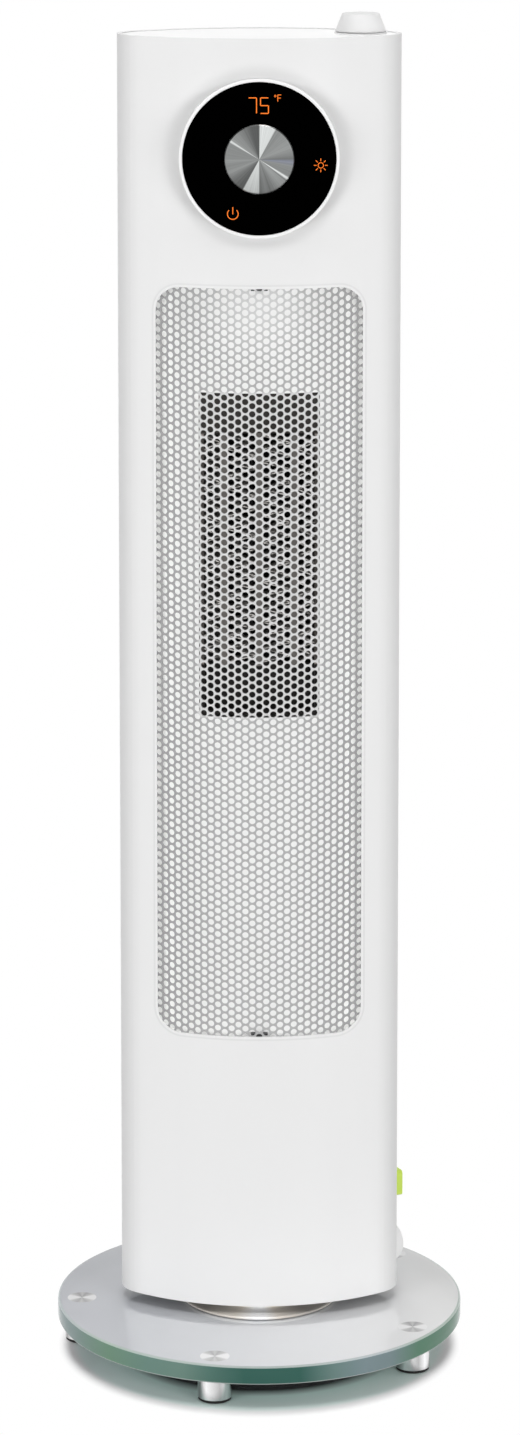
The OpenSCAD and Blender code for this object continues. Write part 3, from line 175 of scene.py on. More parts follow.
# metal and glass mirror a bright horizon and a greyer ceiling
upward = axesOf(tree, addNode(tree, "TexCoord").outputs["Generated"])["Z"]
mirrorTone = ranged(tree, upward, surroundings["horizonTop"], surroundings["ceilingStart"],
                    surroundings["horizon"], surroundings["ceiling"], "SMOOTHSTEP")
ambient = addNode(tree, "Background", {"Color": white, "Strength": surroundings["ambient"]})
mirrored = addNode(tree, "Background", {"Color": mirrorTone})
backdrop = addNode(tree, "Background", {"Color": white})
lighting = mixShaders(tree, ray["Is Glossy Ray"], ambient, mirrored)
seen = calculate(tree, "MAXIMUM", ray["Is Camera Ray"], ray["Is Transmission Ray"])
addNode(tree, "OutputWorld", {"Surface": mixShaders(tree, seen, lighting, backdrop).outputs[0]})

floorPlan = {
    "size": 24, "below": 0.0001, "shadeCentre": (0, -0.012, 0), "rough": 0.12, "specular": 0.22,
    "shadowRadius": 0.1015, "fadeRadius": 0.110, "bounce": 0.42, "rampSpan": 0.2,
    # the shade under the glass: distance from the middle and colour
    "shade": [(0.046, (0.93, 0.93, 0.93)), (0.058, (0.05, 0.05, 0.05)),
              (0.071, (0.035, 0.04, 0.04)), (0.080, (0.72, 0.95, 0.88)),
              (0.098, (0.86, 1.0, 0.96)), (0.102, (1.0, 1.0, 1.0))],
}
bpy.ops.mesh.primitive_plane_add(size=floorPlan["size"], location=(0, 0, -floorPlan["below"]))
floor = bpy.context.object
floor.name = "studioFloor"
bpy.ops.object.transform_apply(location=True, rotation=True, scale=True)
floorMaterial = bpy.data.materials.new("studioFloor")
floorMaterial.use_nodes = True
tree = floorMaterial.node_tree
tree.nodes.clear()
distance = vectorMath(tree, "LENGTH", vectorMath(tree, "SUBTRACT", objectPlace(tree),
                                                 floorPlan["shadeCentre"]))
shade = colourRamp(tree, calculate(tree, "DIVIDE", distance, floorPlan["rampSpan"]),
                   [(at / floorPlan["rampSpan"], colour) for at, colour in floorPlan["shade"]])
near = addNode(tree, "BsdfPrincipled", {"Base Color": shade, "Roughness": floorPlan["rough"],
                                        "Specular IOR Level": floorPlan["specular"]})
far = addNode(tree, "Emission", {"Color": white, "Strength": 1})
fade = ranged(tree, distance, floorPlan["shadowRadius"], floorPlan["fadeRadius"],
              curve="SMOOTHSTEP")
# light that falls on the floor bounces back as from a duller one
dull = addNode(tree, "BsdfDiffuse", {"Color": (floorPlan["bounce"],) * 3 + (1,)})
shown = mixShaders(tree, addNode(tree, "LightPath").outputs["Is Diffuse Ray"],
                   mixShaders(tree, fade, near, far), dull)
addNode(tree, "OutputMaterial", {"Surface": shown.outputs[0]})
floor.data.materials.append(floorMaterial)
print("camera, lamps and floor are set")

grain = {"detail": 2, "depth": 0.0002}
moulded = {"cloudScale": 14, "glossScale": 60, "glossSwing": 0.12}
turnedMarks = {"streakScale": 110, "streakDetail": 4, "waver": 1.5, "bump": 0.12, "depth": 0.0001}


def newMaterial(name):
    material = bpy.data.materials.new(name)
    material.use_nodes = True
    return material, material.node_tree, material.node_tree.nodes["Principled BSDF"]


def noiseOf(tree, vector, scale, detail=3.0):
    inputs = {"Vector": vector, "Scale": scale, "Detail": detail}
    return addNode(tree, "TexNoise", inputs).outputs["Fac"]


def addBump(tree, shader, height, strength, distance):
    bump = addNode(tree, "Bump", {"Height": height, "Strength": strength, "Distance": distance})
    feed(tree, shader, {"Normal": bump.outputs["Normal"]})


def addGrain(tree, shader, place, scale=1500, bump=0.05):
    addBump(tree, shader, noiseOf(tree, place, scale, grain["detail"]), bump, grain["depth"])


def mouldedFinish(name, colour, rough, spread=0.02, fineness=1500, bump=0.05, metal=0.0, **sockets):
    # an even finish with a soft cloudiness, a fine grain and uneven gloss
    material, tree, shader = newMaterial(name)
    place = objectPlace(tree)
    low, high = ((*(min(1, c * share) for c in colour), 1) for share in (1 - spread, 1 + spread))
    swing = moulded["glossSwing"]
    gloss = ranged(tree, noiseOf(tree, place, moulded["glossScale"]), 0, 1,
                   rough * (1 - swing), min(1, rough * (1 + swing)))
    cloud = noiseOf(tree, place, moulded["cloudScale"])
    feed(tree, shader, {"Base Color": mixColours(tree, cloud, low, high), "Roughness": gloss,
                        "Metallic": metal, **sockets})
    addGrain(tree, shader, place, fineness, bump)
    return material


def paintedReflectionsByAngle(name, stops, centre=(0, 0, 0), turn=(0, 0, 0), rings=900, rough=0.3, metal=1.0,
               uv=None, streaks=0.0, **sockets):
    # metal turned on a lathe: painted reflections as light and dark wedges round its axis, with
    # streaks, and fine rings
    material, tree, shader = newMaterial(name)
    place = addNode(tree, "UVMap", uv_map=uv).outputs["UV"] if uv else objectPlace(tree)
    turned = addNode(tree, "VectorRotate", {
        "Vector": vectorMath(tree, "SUBTRACT", place, centre),
        "Rotation": tuple(math.radians(angle) for angle in turn),
    }, rotation_type="EULER_XYZ").outputs[0]
    around = addNode(tree, "TexGradient", {0: turned}, gradient_type="RADIAL").outputs["Fac"]
    colour = colourRamp(tree, around, stops)
    if streaks:
        fan = addNode(tree, "TexNoise", {"W": around, "Scale": turnedMarks["streakScale"],
                                         "Detail": turnedMarks["streakDetail"]},
                      noise_dimensions="1D").outputs["Fac"]
        swing = calculate(tree, "MULTIPLY_ADD", fan, 2 * streaks, 1 - streaks)
        colour = tinted(tree, colour, swing)
    wave = addNode(tree, "TexWave", {"Vector": turned, "Scale": rings,
                                     "Distortion": turnedMarks["waver"]},
                   wave_type="RINGS", rings_direction="Z").outputs["Fac"]
    addBump(tree, shader, wave, turnedMarks["bump"], turnedMarks["depth"])
    feed(tree, shader, {"Base Color": colour, "Metallic": metal, "Roughness": rough, **sockets})
    return material


# the finish of each material slot: colour, roughness and what sets it apart
mouldedSlots = {
    "white_plastic": ((0.83, 0.83, 0.83), 0.42, {"spread": 0.006, "Specular_IOR_Level": 0.25}),
    "guide_plastic": ((0.89, 0.89, 0.885), 0.5, {"Specular_IOR_Level": 0.25}),
    "duct_plastic": ((0.20, 0.19, 0.18), 0.55, {}),
    "grey_plastic": ((0.75, 0.75, 0.75), 0.38, {"Specular_IOR_Level": 0.3}),
    "dark_plastic": ((0.03, 0.03, 0.032), 0.5, {}),
    "lime_plastic": ((0.61, 0.80, 0.12), 0.35, {"spread": 0.04}),
    # painted shade: made darker to stand for the grille's shadow, which the sheet does not cast
    "heater_holder": ((0.085, 0.072, 0.066), 0.55, {"spread": 0.08}),
    "grille_sheet": ((0.80, 0.80, 0.79), 0.4, {"Specular_IOR_Level": 0.3}),
    "polished_chrome": ((0.86, 0.87, 0.88), 0.08, {"metal": 1.0, "bump": 0.01}),
    "screw_steel": ((0.55, 0.55, 0.56), 0.32, {"metal": 1.0, "spread": 0.08}),
    "plated_steel": ((0.62, 0.61, 0.58), 0.36, {"metal": 1.0, "spread": 0.08}),
    "fin_aluminium": ((0.62, 0.61, 0.59), 0.5, {"metal": 0.35, "spread": 0.3, "fineness": 900}),
    "brass_tabs": ((0.72, 0.52, 0.24), 0.32, {"metal": 1.0}),
    "bronze_bush": ((0.55, 0.38, 0.2), 0.42, {"metal": 1.0, "spread": 0.1}),
    "white_nylon": ((0.78, 0.77, 0.72), 0.45, {}),
    "white_ceramic": ((0.82, 0.81, 0.78), 0.6, {"spread": 0.05}),
    "black_rubber": ((0.018, 0.018, 0.018), 0.8, {"fineness": 700, "bump": 0.2}),
    "white_cable": ((0.7, 0.69, 0.66), 0.5, {}),
    "clear_glass": ((0.80, 0.82, 0.85), 0.04, {"bump": 0.0, "Alpha": 0.42,
                                               "Specular_IOR_Level": 0.7}),
    "black_lens": ((0.0002, 0.0002, 0.0002), 0.06, {"bump": 0.0, "Specular_IOR_Level": 0.0}),
    "board_green": ((0.02, 0.16, 0.06), 0.4, {"spread": 0.15}),
    "board_blocks": ((0.05, 0.11, 0.35), 0.45, {"spread": 0.15}),
    "amber_leds": ((0.9, 0.3, 0.03), 0.3, {}),
}
finishes = {}
for slot, (colour, rough, others) in mouldedSlots.items():
    first, *rest = slot.split("_")
    name = first + "".join(word.title() for word in rest)
    finishes[slot] = mouldedFinish(name, colour, rough, **others)
# painted reflections of the spun steel: light and dark wedges by angle
steelReflectionTones = [(0.0, 0.62), (0.25, 0.8), (0.5, 0.6), (0.75, 0.85), (1.0, 0.62)]
finishes["spun_steel"] = paintedReflectionsByAngle("spunSteelPaintedReflections", steelReflectionTones)
for row in frame["record"]["subparts"]:
    node = nodes[row["node"]]
    node.data.materials.clear()
    node.data.materials.append(finishes[row["material_slot"]])

# the heater behind the window, in tones by height: the smooth plate above and the hollow below are
# darkened with painted shade, and pale bands lie at the folded edges
heater = {
    "low": 0.372, "high": 0.512, "ceramic": (0.115, 0.107, 0.10), "tint": (1, 0.9, 0.83),
    "frameRough": 0.5, "frameSpecular": 0.25,
    # height and brightness
    "bands": [(0.3735, 0.010), (0.3800, 0.012), (0.3806, 0.32), (0.3818, 0.32), (0.3825, 0.05),
              (0.5020, 0.05), (0.5026, 0.24), (0.5038, 0.24), (0.5045, 0.028), (0.512, 0.032)],
    "finTones": [(0.34, (0.07, 0.066, 0.062)), (0.5, (0.36, 0.345, 0.33)),
                 (0.62, (0.68, 0.66, 0.64))],
    "finScale": 460, "finMetal": 0.2, "finRough": 0.45, "finGrain": (900, 0.2),
}
nodes["heater_strips"].data.materials[0] = mouldedFinish("stripCeramic", heater["ceramic"], 0.6,
                                                         spread=0.3, fineness=900)
material, tree, shader = newMaterial("heaterFrame")
place = objectPlace(tree)
span = heater["high"] - heater["low"]
aboveLow = calculate(tree, "SUBTRACT", axesOf(tree, place)["Z"], heater["low"])
bands = [((at - heater["low"]) / span, tuple(grey * share for share in heater["tint"]))
         for at, grey in heater["bands"]]
banded = colourRamp(tree, calculate(tree, "DIVIDE", aboveLow, span), bands)
feed(tree, shader, {"Base Color": banded, "Roughness": heater["frameRough"],
                    "Specular IOR Level": heater["frameSpecular"]})
addGrain(tree, shader, place)
nodes["heater_frame"].data.materials[0] = material

material, tree, shader = newMaterial("foldedFins")
place = objectPlace(tree)
folds = noiseOf(tree, place, heater["finScale"], grain["detail"])
feed(tree, shader, {"Base Color": colourRamp(tree, folds, heater["finTones"]),
                    "Metallic": heater["finMetal"], "Roughness": heater["finRough"]})
addGrain(tree, shader, place, *heater["finGrain"])
nodes["heater_fins"].data.materials[0] = material

# painted light: the top cover is a lighter white than the shells
nodes["top_cover"].data.materials[0] = mouldedFinish("topWhite", (0.93, 0.93, 0.93), 0.42,
                                                     spread=0.004, Specular_IOR_Level=0.25)
# painted shade: the underside is near black, so that its mirror image in the glass darkens the
# shade under the cabinet
nodes["bottom_cover"].data.materials[0] = mouldedFinish("undersidePaintedShade", (0.05, 0.05, 0.052), 0.6)
print("materials are set on", len(nodes), "nodes")

weldDistance = 1e-6
seedSize = 0.001


def setMode(mode):
    bpy.ops.object.mode_set(mode=mode)


def selectAll():
    bpy.ops.mesh.select_all(action="SELECT")


def weldAll():
    selectAll()
    bpy.ops.mesh.remove_doubles(threshold=weldDistance)


def pick(*objects):
    # selects these and nothing else, the first one active
    if bpy.context.mode != "OBJECT":
        setMode("OBJECT")
    bpy.ops.object.select_all(action="DESELECT")
    for obj in objects:
        obj.select_set(True)
    if objects:
        bpy.context.view_layer.objects.active = objects[0]


def applyPlace(obj):
    pick(obj)
    bpy.ops.object.transform_apply(location=True, rotation=True, scale=True)


def applyModifiers(obj):
    pick(obj)
    for modifier in list(obj.modifiers):
        bpy.ops.object.modifier_apply(modifier=modifier.name)


def settle(obj, matrix):
    obj.matrix_world = matrix
    applyPlace(obj)
    return obj


def standAt(obj, place, turn=(0, 0, 0)):
    matrix = Matrix.Translation(place)
    for angle, axis in zip(reversed(turn), "ZYX"):
        matrix = matrix @ Matrix.Rotation(math.radians(angle), 4, axis)
    return settle(obj, matrix)


def selectWhere(obj, kind, wanted):
    # in edit mode, selects the edges or faces that pass a test
    edit = bmesh.from_edit_mesh(obj.data)
    for part in getattr(edit, kind):
        part.select = wanted(part)
    bmesh.update_edit_mesh(obj.data)


def finishPiece(obj, name, material, body, replaced=(), sharp=35):
    obj.name = obj.data.name = name
    pick(obj)
    bpy.ops.object.shade_smooth_by_angle(angle=math.radians(sharp))
    obj.data.materials.clear()
    obj.data.materials.append(material)
    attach(obj, body)
    if replaced:
        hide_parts(*replaced)
    return obj


def onCircle(centre, radius, degrees):
    angle = math.radians(degrees)
    return centre[0] + radius * math.cos(angle), centre[1] + radius * math.sin(angle)


def roundCorner(centre, radius, start, end, count=5):
    # points of an arc in the lathe's half plane, angles in degrees
    return [onCircle(centre, radius, start + (end - start) * i / count) for i in range(count + 1)]


def latheProfile(points, steps=96, close=False):
    # draws the outline point by point from one vertex, then spins it about Z
    pick()
    bpy.ops.mesh.primitive_plane_add(size=seedSize, location=(0, 0, 0))
    obj = bpy.context.object
    setMode("EDIT")
    bpy.ops.mesh.merge(type="CENTER")
    bpy.ops.transform.translate(value=(points[0][0], 0, points[0][1]))
    path = points + points[:1] if close else points
    for here, there in zip(path, path[1:]):
        bpy.ops.mesh.extrude_region_move(
            TRANSFORM_OT_translate={"value": (there[0] - here[0], 0, there[1] - here[1])})
    weldAll()
    bpy.ops.mesh.spin(steps=steps, angle=2 * math.pi, center=(0, 0, 0), axis=(0, 0, 1))
    weldAll()
    bpy.ops.mesh.normals_make_consistent(inside=False)
    setMode("OBJECT")
    return obj


def copiesAt(original, places):
    # copies with their own meshes, joined into one piece
    copies = [original]
    for x, y in places[1:]:
        twin = original.copy()
        twin.data = original.data.copy()
        scene.collection.objects.link(twin)
        twin.location = (x, y, 0)
        copies.append(twin)
    original.location = (*places[0], 0)
    pick(*copies)
    bpy.ops.object.join()
    applyPlace(original)


def turnedUv(obj, places, radius):
    # places each face's coordinates round the nearest centre, for a turned finish
    layer = obj.data.uv_layers.new(name="turned")
    for loop in obj.data.loops:
        co = obj.data.vertices[loop.vertex_index].co
        x, y = min(places, key=lambda p: (p[0] - co.x) ** 2 + (p[1] - co.y) ** 2)
        layer.data[loop.index].uv = ((co.x - x) / radius, (co.y - y) / radius)


def footPart(outline, plan, turned=False):
    # one part of a foot, at each foot's place
    part = latheProfile(outline, steps=plan["steps"])
    copiesAt(part, footPlaces)
    if turned:
        turnedUv(part, footPlaces, plan["radius"])
    return part


feet = {"ring": 0.097, "count": 5, "first": -104, "radius": 0.0092, "low": 0.0012, "top": 0.013,
        "chamfer": 0.0005, "steps": 64,
        # the feet's painted reflections: light and dark streaks by angle round each foot
        "tones": [(0.0, 0.9), (0.08, 0.3), (0.17, 0.95), (0.3, 0.5), (0.37, 0.98), (0.5, 0.42),
                  (0.56, 0.9), (0.66, 0.55), (0.74, 1.0), (0.82, 0.35), (0.9, 0.85), (1.0, 0.9)]}
discs = {"radius": 0.008, "low": 0.012, "gap": 0.00005, "ease": 0.00015, "drop": 0.00002,
         "steps": 48,
         "tones": [(0.0, 1.0), (0.07, 0.95), (0.16, 0.35), (0.25, 0.6), (0.34, 0.35), (0.43, 0.95),
                   (0.57, 0.95), (0.66, 0.5), (0.75, 0.7), (0.84, 0.5), (0.93, 0.95), (1.0, 1.0)]}
pads = {"radius": 0.0088, "height": 0.0012, "sole": 0.0084, "rise": 0.0003, "ease": 0.0002,
        "steps": 48}
glassBase = {
    "radius": 0.110, "low": 0.013, "high": 0.023, "bore": 0.0253, "edge": 0.0012, "steps": 180,
    # the faces' painted light from left to right, and the painted reflection wedges of a disc's
    # image by angle
    "paneLightAcross": [(0.0, (0.69, 0.70, 0.75)), (0.3, (0.75, 0.77, 0.81)), (0.75, (0.95, 0.96, 0.98)),
                  (1.0, (1.0, 1.0, 1.0))],
    "discImageReflections": [(0.0, 0.96), (0.07, 0.95), (0.12, 0.62), (0.2, 0.50), (0.25, 0.66), (0.3, 0.50),
                  (0.38, 0.66), (0.43, 0.96), (0.57, 0.96), (0.62, 0.60), (0.7, 0.42),
                  (0.75, 0.60), (0.8, 0.42), (0.88, 0.62), (0.93, 0.96), (1.0, 0.96)],
    "unevenScale": 9, "uneven": 0.12, "alpha": 0.84, "discAlpha": 0.95, "discBlur": 0.0004,
    "rough": 0.03, "specular": 0.8, "coat": 1.0,
    # the rim's green colour by angle, with painted reflections that leave it darkest towards the
    # viewer
    "rimColourAndReflections": [(0.0, (0.26, 0.33, 0.35)), (0.07, (0.22, 0.30, 0.29)), (0.12, (0.17, 0.30, 0.21)),
                 (0.16, (0.15, 0.26, 0.22)), (0.19, (0.15, 0.25, 0.21)),
                 (0.212, (0.085, 0.18, 0.15)), (0.238, (0.034, 0.118, 0.094)),
                 (0.282, (0.034, 0.118, 0.094)), (0.31, (0.15, 0.24, 0.225)),
                 (0.335, (0.21, 0.28, 0.30)), (0.36, (0.20, 0.27, 0.28)),
                 (0.39, (0.11, 0.24, 0.16)), (0.45, (0.12, 0.24, 0.17)), (0.5, (0.24, 0.33, 0.30)),
                 (0.75, (0.15, 0.27, 0.22)), (1.0, (0.26, 0.33, 0.35))],
    "rimRough": 0.1, "easeHighlightLift": 0.35,
}


def glassFace(name):
    # the flat faces: pale and partly clear, with painted light from a bluer, darker -X side to
    # white at +X.
    # The image of the discs bonded under them is painted on, with painted reflection wedges,
    # because they show too weakly through blended glass
    material, tree, shader = newMaterial(name)
    place = objectPlace(tree)
    axes = axesOf(tree, place)
    across = calculate(tree, "DIVIDE", axes["X"], 2 * glassBase["radius"])
    uneven = noiseOf(tree, place, glassBase["unevenScale"])
    leftToRight = calculate(tree, "ADD", calculate(tree, "ADD", across, 0.5),
                            calculate(tree, "MULTIPLY", uneven, glassBase["uneven"]))
    paintedPaneLight = colourRamp(tree, leftToRight, glassBase["paneLightAcross"])
    # the angle of the nearest disc, and the way from its centre
    step, first = 2 * math.pi / feet["count"], math.radians(feet["first"])
    angle = calculate(tree, "SUBTRACT", calculate(tree, "ARCTAN2", axes["Y"], axes["X"]), first)
    turns = calculate(tree, "ROUND", calculate(tree, "DIVIDE", angle, step))
    nearest = calculate(tree, "ADD", calculate(tree, "MULTIPLY", turns, step), first)
    fromDisc = {}
    for axis, curve in (("X", "COSINE"), ("Y", "SINE")):
        centre = calculate(tree, "MULTIPLY", calculate(tree, curve, nearest), feet["ring"])
        fromDisc[axis] = calculate(tree, "SUBTRACT", axes[axis], centre)
    fromDisc = addNode(tree, "CombineXYZ", fromDisc).outputs[0]
    onDisc = ranged(tree, vectorMath(tree, "LENGTH", fromDisc), discs["radius"],
                    discs["radius"] - glassBase["discBlur"])
    around = addNode(tree, "TexGradient", {0: fromDisc}, gradient_type="RADIAL").outputs["Fac"]
    paintedDiscWedges = colourRamp(tree, around, glassBase["discImageReflections"])
    alpha = calculate(tree, "MULTIPLY_ADD", onDisc, glassBase["discAlpha"] - glassBase["alpha"],
                      glassBase["alpha"])
    feed(tree, shader, {"Base Color": mixColours(tree, onDisc, paintedPaneLight, paintedDiscWedges), "Alpha": alpha,
                        "Roughness": glassBase["rough"], "Coat Weight": glassBase["coat"],
                        "Specular IOR Level": glassBase["specular"]})
    return material


radius, low, high, edge = (glassBase[name] for name in ("radius", "low", "high", "edge"))
outline = ([(glassBase["bore"], low)] + roundCorner((radius - edge, low + edge), edge, -90, 0)
           + roundCorner((radius - edge, high - edge), edge, 0, 90) + [(glassBase["bore"], high)])
glass = latheProfile(outline, steps=glassBase["steps"], close=True)
finishPiece(glass, "glass_disc", glassFace("clearGlass"), "base", ["glass_base"])
# painted highlight: the eased edges take the rim's tones lifted towards white
lift = glassBase["easeHighlightLift"]
easeHighlightTones = [(at, tuple(lift + (1 - lift) * c for c in colour))
             for at, colour in glassBase["rimColourAndReflections"]]
for name, tones, sockets in (
        ("glassRim", glassBase["rimColourAndReflections"], {"Alpha": 0.96, "Specular_IOR_Level": 0.12}),
        ("glassEase", easeHighlightTones, {"Specular_IOR_Level": 0.3})):
    glass.data.materials.append(paintedReflectionsByAngle(name, tones, rings=3, rough=glassBase["rimRough"],
                                           metal=0.0, **sockets))
for face in glass.data.polygons:
    if face.center.xy.length > radius - edge:
        face.material_index = 1 if abs(face.normal.z) < 0.2 else 2

footPlaces = [onCircle((0, 0), feet["ring"], feet["first"] + 360 / feet["count"] * i)
              for i in range(feet["count"])]
radius, low, top, chamfer = (feet[name] for name in ("radius", "low", "top", "chamfer"))
seat = discs["radius"] + discs["gap"]
puck = footPart([(0, low), (radius - chamfer, low), (radius, low + chamfer),
                 (radius, top - chamfer), (radius - chamfer, top), (seat, top),
                 (seat, discs["low"]), (0, discs["low"])], feet, turned=True)
# painted reflections on the chrome feet, light and dark streaks round each foot
footChromePaintedReflections = paintedReflectionsByAngle("footChromePaintedReflections", feet["tones"], rough=0.12, uv="turned", rings=6)
finishPiece(puck, "polished_feet", footChromePaintedReflections, "base", ["foot_pucks"])

radius, discTop = discs["radius"], top - discs["drop"]
disc = footPart([(0, discs["low"]), (radius, discs["low"]), (radius, top - discs["ease"]),
                 (radius - discs["ease"], discTop), (0, discTop)], discs, turned=True)
# painted reflections on the bonded discs: bright and dark wedges round each disc
discPaintedReflections = paintedReflectionsByAngle("discPaintedReflections", discs["tones"], rough=0.3, uv="turned", rings=8)
finishPiece(disc, "bonded_discs", discPaintedReflections, "base", ["foot_discs"])

radius, top = pads["radius"], pads["height"]
pad = footPart([(0, 0), (pads["sole"], 0), (radius, pads["rise"]), (radius, top - pads["ease"]),
                (radius - pads["ease"], top), (0, top)], pads)
finishPiece(pad, "foot_pads_rubber", finishes["black_rubber"], "base",
            ["foot_pads"])

pedestal = {
    "bore": 0.007, "foot": 0.0124, "spigot": 0.025, "flangeLow": 0.0236, "flange": 0.043,
    "neck": 0.030, "neckLow": 0.0255, "neckTop": 0.0286, "column": 0.014, "top": 0.0467,
    "ease": 0.0003, "rimRound": 0.0006, "rimTop": (0.0018, 0.0013), "neckFoot": (0.0006, 0.0001),
    "neckEase": 0.0004, "steps": 144,
    # painted reflections of the turned metal: light and dark wedges by angle, on its beige tone
    "tones": [(0.0, 0.42), (0.06, (0.72, 0.68, 0.63)), (0.12, (0.50, 0.47, 0.43)),
              (0.2, (0.78, 0.73, 0.66)), (0.24, 1.0), (0.26, 1.0), (0.29, (0.74, 0.69, 0.62)),
              (0.36, (0.48, 0.45, 0.42)), (0.42, (0.8, 0.76, 0.7)), (0.5, 0.3), (0.62, 0.38),
              (0.68, (0.86, 0.84, 0.8)), (0.69, (0.98, 0.96, 0.92)), (0.72, (0.84, 0.81, 0.77)),
              (0.746, 0.9), (0.75, 1.0), (0.755, (0.88, 0.86, 0.82)), (0.84, (0.78, 0.76, 0.72)),
              (0.9, 0.38), (1.0, 0.42)],
}
flange, flangeLow, rim = pedestal["flange"], pedestal["flangeLow"], pedestal["rimRound"]
neck, neckTop, neckEase = pedestal["neck"], pedestal["neckTop"], pedestal["neckEase"]
outline = ([(pedestal["bore"], pedestal["foot"]), (pedestal["spigot"], pedestal["foot"]),
            (pedestal["spigot"], flangeLow), (flange - pedestal["ease"], flangeLow)]
           + roundCorner((flange - rim, flangeLow + rim), rim, -45, 80)
           + [(flange - pedestal["rimTop"][0], flangeLow + pedestal["rimTop"][1]),
              (neck + pedestal["neckFoot"][0], pedestal["neckLow"] - pedestal["neckFoot"][1]),
              (neck, pedestal["neckLow"] + pedestal["ease"]), (neck, neckTop - neckEase),
              (neck - neckEase, neckTop), (pedestal["column"], neckTop),
              (pedestal["column"], pedestal["top"]), (pedestal["bore"], pedestal["top"])])
stand = latheProfile(outline, steps=pedestal["steps"], close=True)
pedestalPaintedReflections = paintedReflectionsByAngle("pedestalPaintedReflections", pedestal["tones"], rough=0.3, rings=500, metal=0.25)
finishPiece(stand, "turned_pedestal", pedestalPaintedReflections, "base", ["pedestal"])
print("base is modelled")

dial = {
    "x": 0.0, "z": 0.6516, "lensRadius": 0.0401, "lensFront": 0.0387, "lensBack": 0.0367,
    "boss": 0.0052, "ease": 0.0003, "lensSteps": 128,
    "knobRadius": 0.0183, "knobFace": 0.0417, "knobBack": 0.0390, "knobRound": (0.0005, 0.0007),
    "knobRim": 0.0011, "knobDip": 0.0002,
    # painted reflection wedges of the knob's face by angle, and what they are multiplied by
    "knobReflectionTones": [(0.0, 0.36), (0.035, 0.30), (0.065, 0.36), (0.10, 0.24), (0.14, 0.17),
                  (0.168, 0.15), (0.173, 0.8), (0.247, 0.8), (0.251, 0.22), (0.285, 0.32),
                  (0.305, 0.25), (0.335, 0.34), (0.37, 0.44), (0.391, 0.36), (0.396, 0.22),
                  (0.4045, 0.95), (0.411, 0.95), (0.415, 0.30), (0.465, 0.32),
                  (0.49, (0.29, 0.30, 0.37)), (0.505, 0.22), (0.56, 0.37), (0.669, 0.29),
                  (0.674, 0.8), (0.746, 0.8), (0.751, 0.12), (0.79, 0.13), (0.87, 0.32),
                  (0.902, 0.34), (0.906, 0.8), (0.913, 0.8), (0.917, 0.30)],
    "knobTint": (0.895, 0.925, 0.915),
}


def faceForward(obj):
    # turns a piece modelled on Z so that it faces the viewer, its height measured towards them
    return standAt(obj, (dial["x"], 0, dial["z"]), (90, 0, 0))


radius, front, back, ease = dial["lensRadius"], dial["lensFront"], dial["lensBack"], dial["ease"]
lens = latheProfile([(dial["boss"], back), (radius, back), (radius, front - ease),
                     (radius - ease, front), (dial["boss"], front)],
                    steps=dial["lensSteps"], close=True)
finishPiece(faceForward(lens), "dial_glass", finishes["black_lens"], "cabinet",
            ["dial_lens"])

radius, front, back = dial["knobRadius"], dial["knobFace"], dial["knobBack"]
inward, down = dial["knobRound"]
dip = front - dial["knobDip"]
knob = latheProfile([(0, back), (radius - ease, back), (radius, back + ease),
                     (radius, front - down), (radius - inward, front),
                     (radius - dial["knobRim"], dip), (0, dip)], steps=dial["lensSteps"])
knobReflectionTones = []
for at, tone in dial["knobReflectionTones"]:
    colour = tone if isinstance(tone, tuple) else (tone,) * 3
    knobReflectionTones.append((at, tuple(c * tint for c, tint in zip(colour, dial["knobTint"]))))
knobMetal = paintedReflectionsByAngle("knobPaintedReflections", knobReflectionTones, centre=(dial["x"], 0, dial["z"]), turn=(-90, 0, 0),
                       rough=0.28, rings=1200, streaks=0.2)
finishPiece(faceForward(knob), "spun_knob", knobMetal, "dial", ["dial_knob"])

# rim, floor and the two hidden ears of the bezel
bezel = {"outer": 0.0419, "inner": 0.0402, "front": 0.0390, "back": 0.0208, "floorLow": 0.0347,
         "floorHigh": 0.0367, "round": 0.0005, "steps": 144, "earUp": 0.0455, "earWidth": 0.0068,
         "earLength": 0.0088, "earBack": 0.0228, "earRound": 0.0006}
inner, outer, front, rim = bezel["inner"], bezel["outer"], bezel["front"], bezel["round"]
outline = ([(dial["boss"], bezel["floorLow"]), (dial["boss"], bezel["floorHigh"]),
            (inner, bezel["floorHigh"])]
           + roundCorner((inner + rim, front - rim), rim, 180, 90)
           + roundCorner((outer - rim, front - rim), rim, 90, 0)
           + [(outer, bezel["back"]), (inner, bezel["back"]), (inner, bezel["floorLow"])])
dialRim = latheProfile(outline, steps=bezel["steps"], close=True)
ears = []
for side in (-1, 1):
    pick()
    bpy.ops.mesh.primitive_cube_add(
        size=1, location=(0, side * bezel["earUp"], (bezel["back"] + bezel["earBack"]) / 2),
        scale=(bezel["earWidth"], bezel["earLength"], bezel["earBack"] - bezel["back"]))
    ear = bpy.context.object
    applyPlace(ear)
    soft = ear.modifiers.new("roundEnds", "BEVEL")
    soft.width, soft.segments = bezel["earRound"], 3
    applyModifiers(ear)
    ears.append(ear)
pick(dialRim, *ears)
bpy.ops.object.join()
finishPiece(faceForward(dialRim), "dial_rim",
            mouldedFinish("bezelWhite", (0.92, 0.92, 0.92), 0.3, spread=0.005),
            "cabinet", ["dial_bezel"])

shellPaintedShade = {
    # the shells' painted light and shade by distance from the middle: a little lighter before their
    # ends, and greyer at their round ends
    "halfWidth": 0.075, "across": [(0.0, 1.0), (0.57, 1.0), (0.8, 1.035), (0.85, 1.03),
                                   (0.89, 0.985), (0.935, 0.95), (1.0, 0.86)],
    # a painted soft shadow round the bezel, and a painted shadow line round the grille's opening
    "bezelShadowTone": 0.83, "bezelShadowEnd": 0.052,
    "openHalf": (0.0545, 0.2020), "openCorner": 0.013, "openCentre": 0.381, "lineSpan": 0.005,
    "line": [(0.0, 1.02), (0.0010, 1.02), (0.0014, 0.91), (0.0018, 0.91), (0.0024, 1.0)],
}
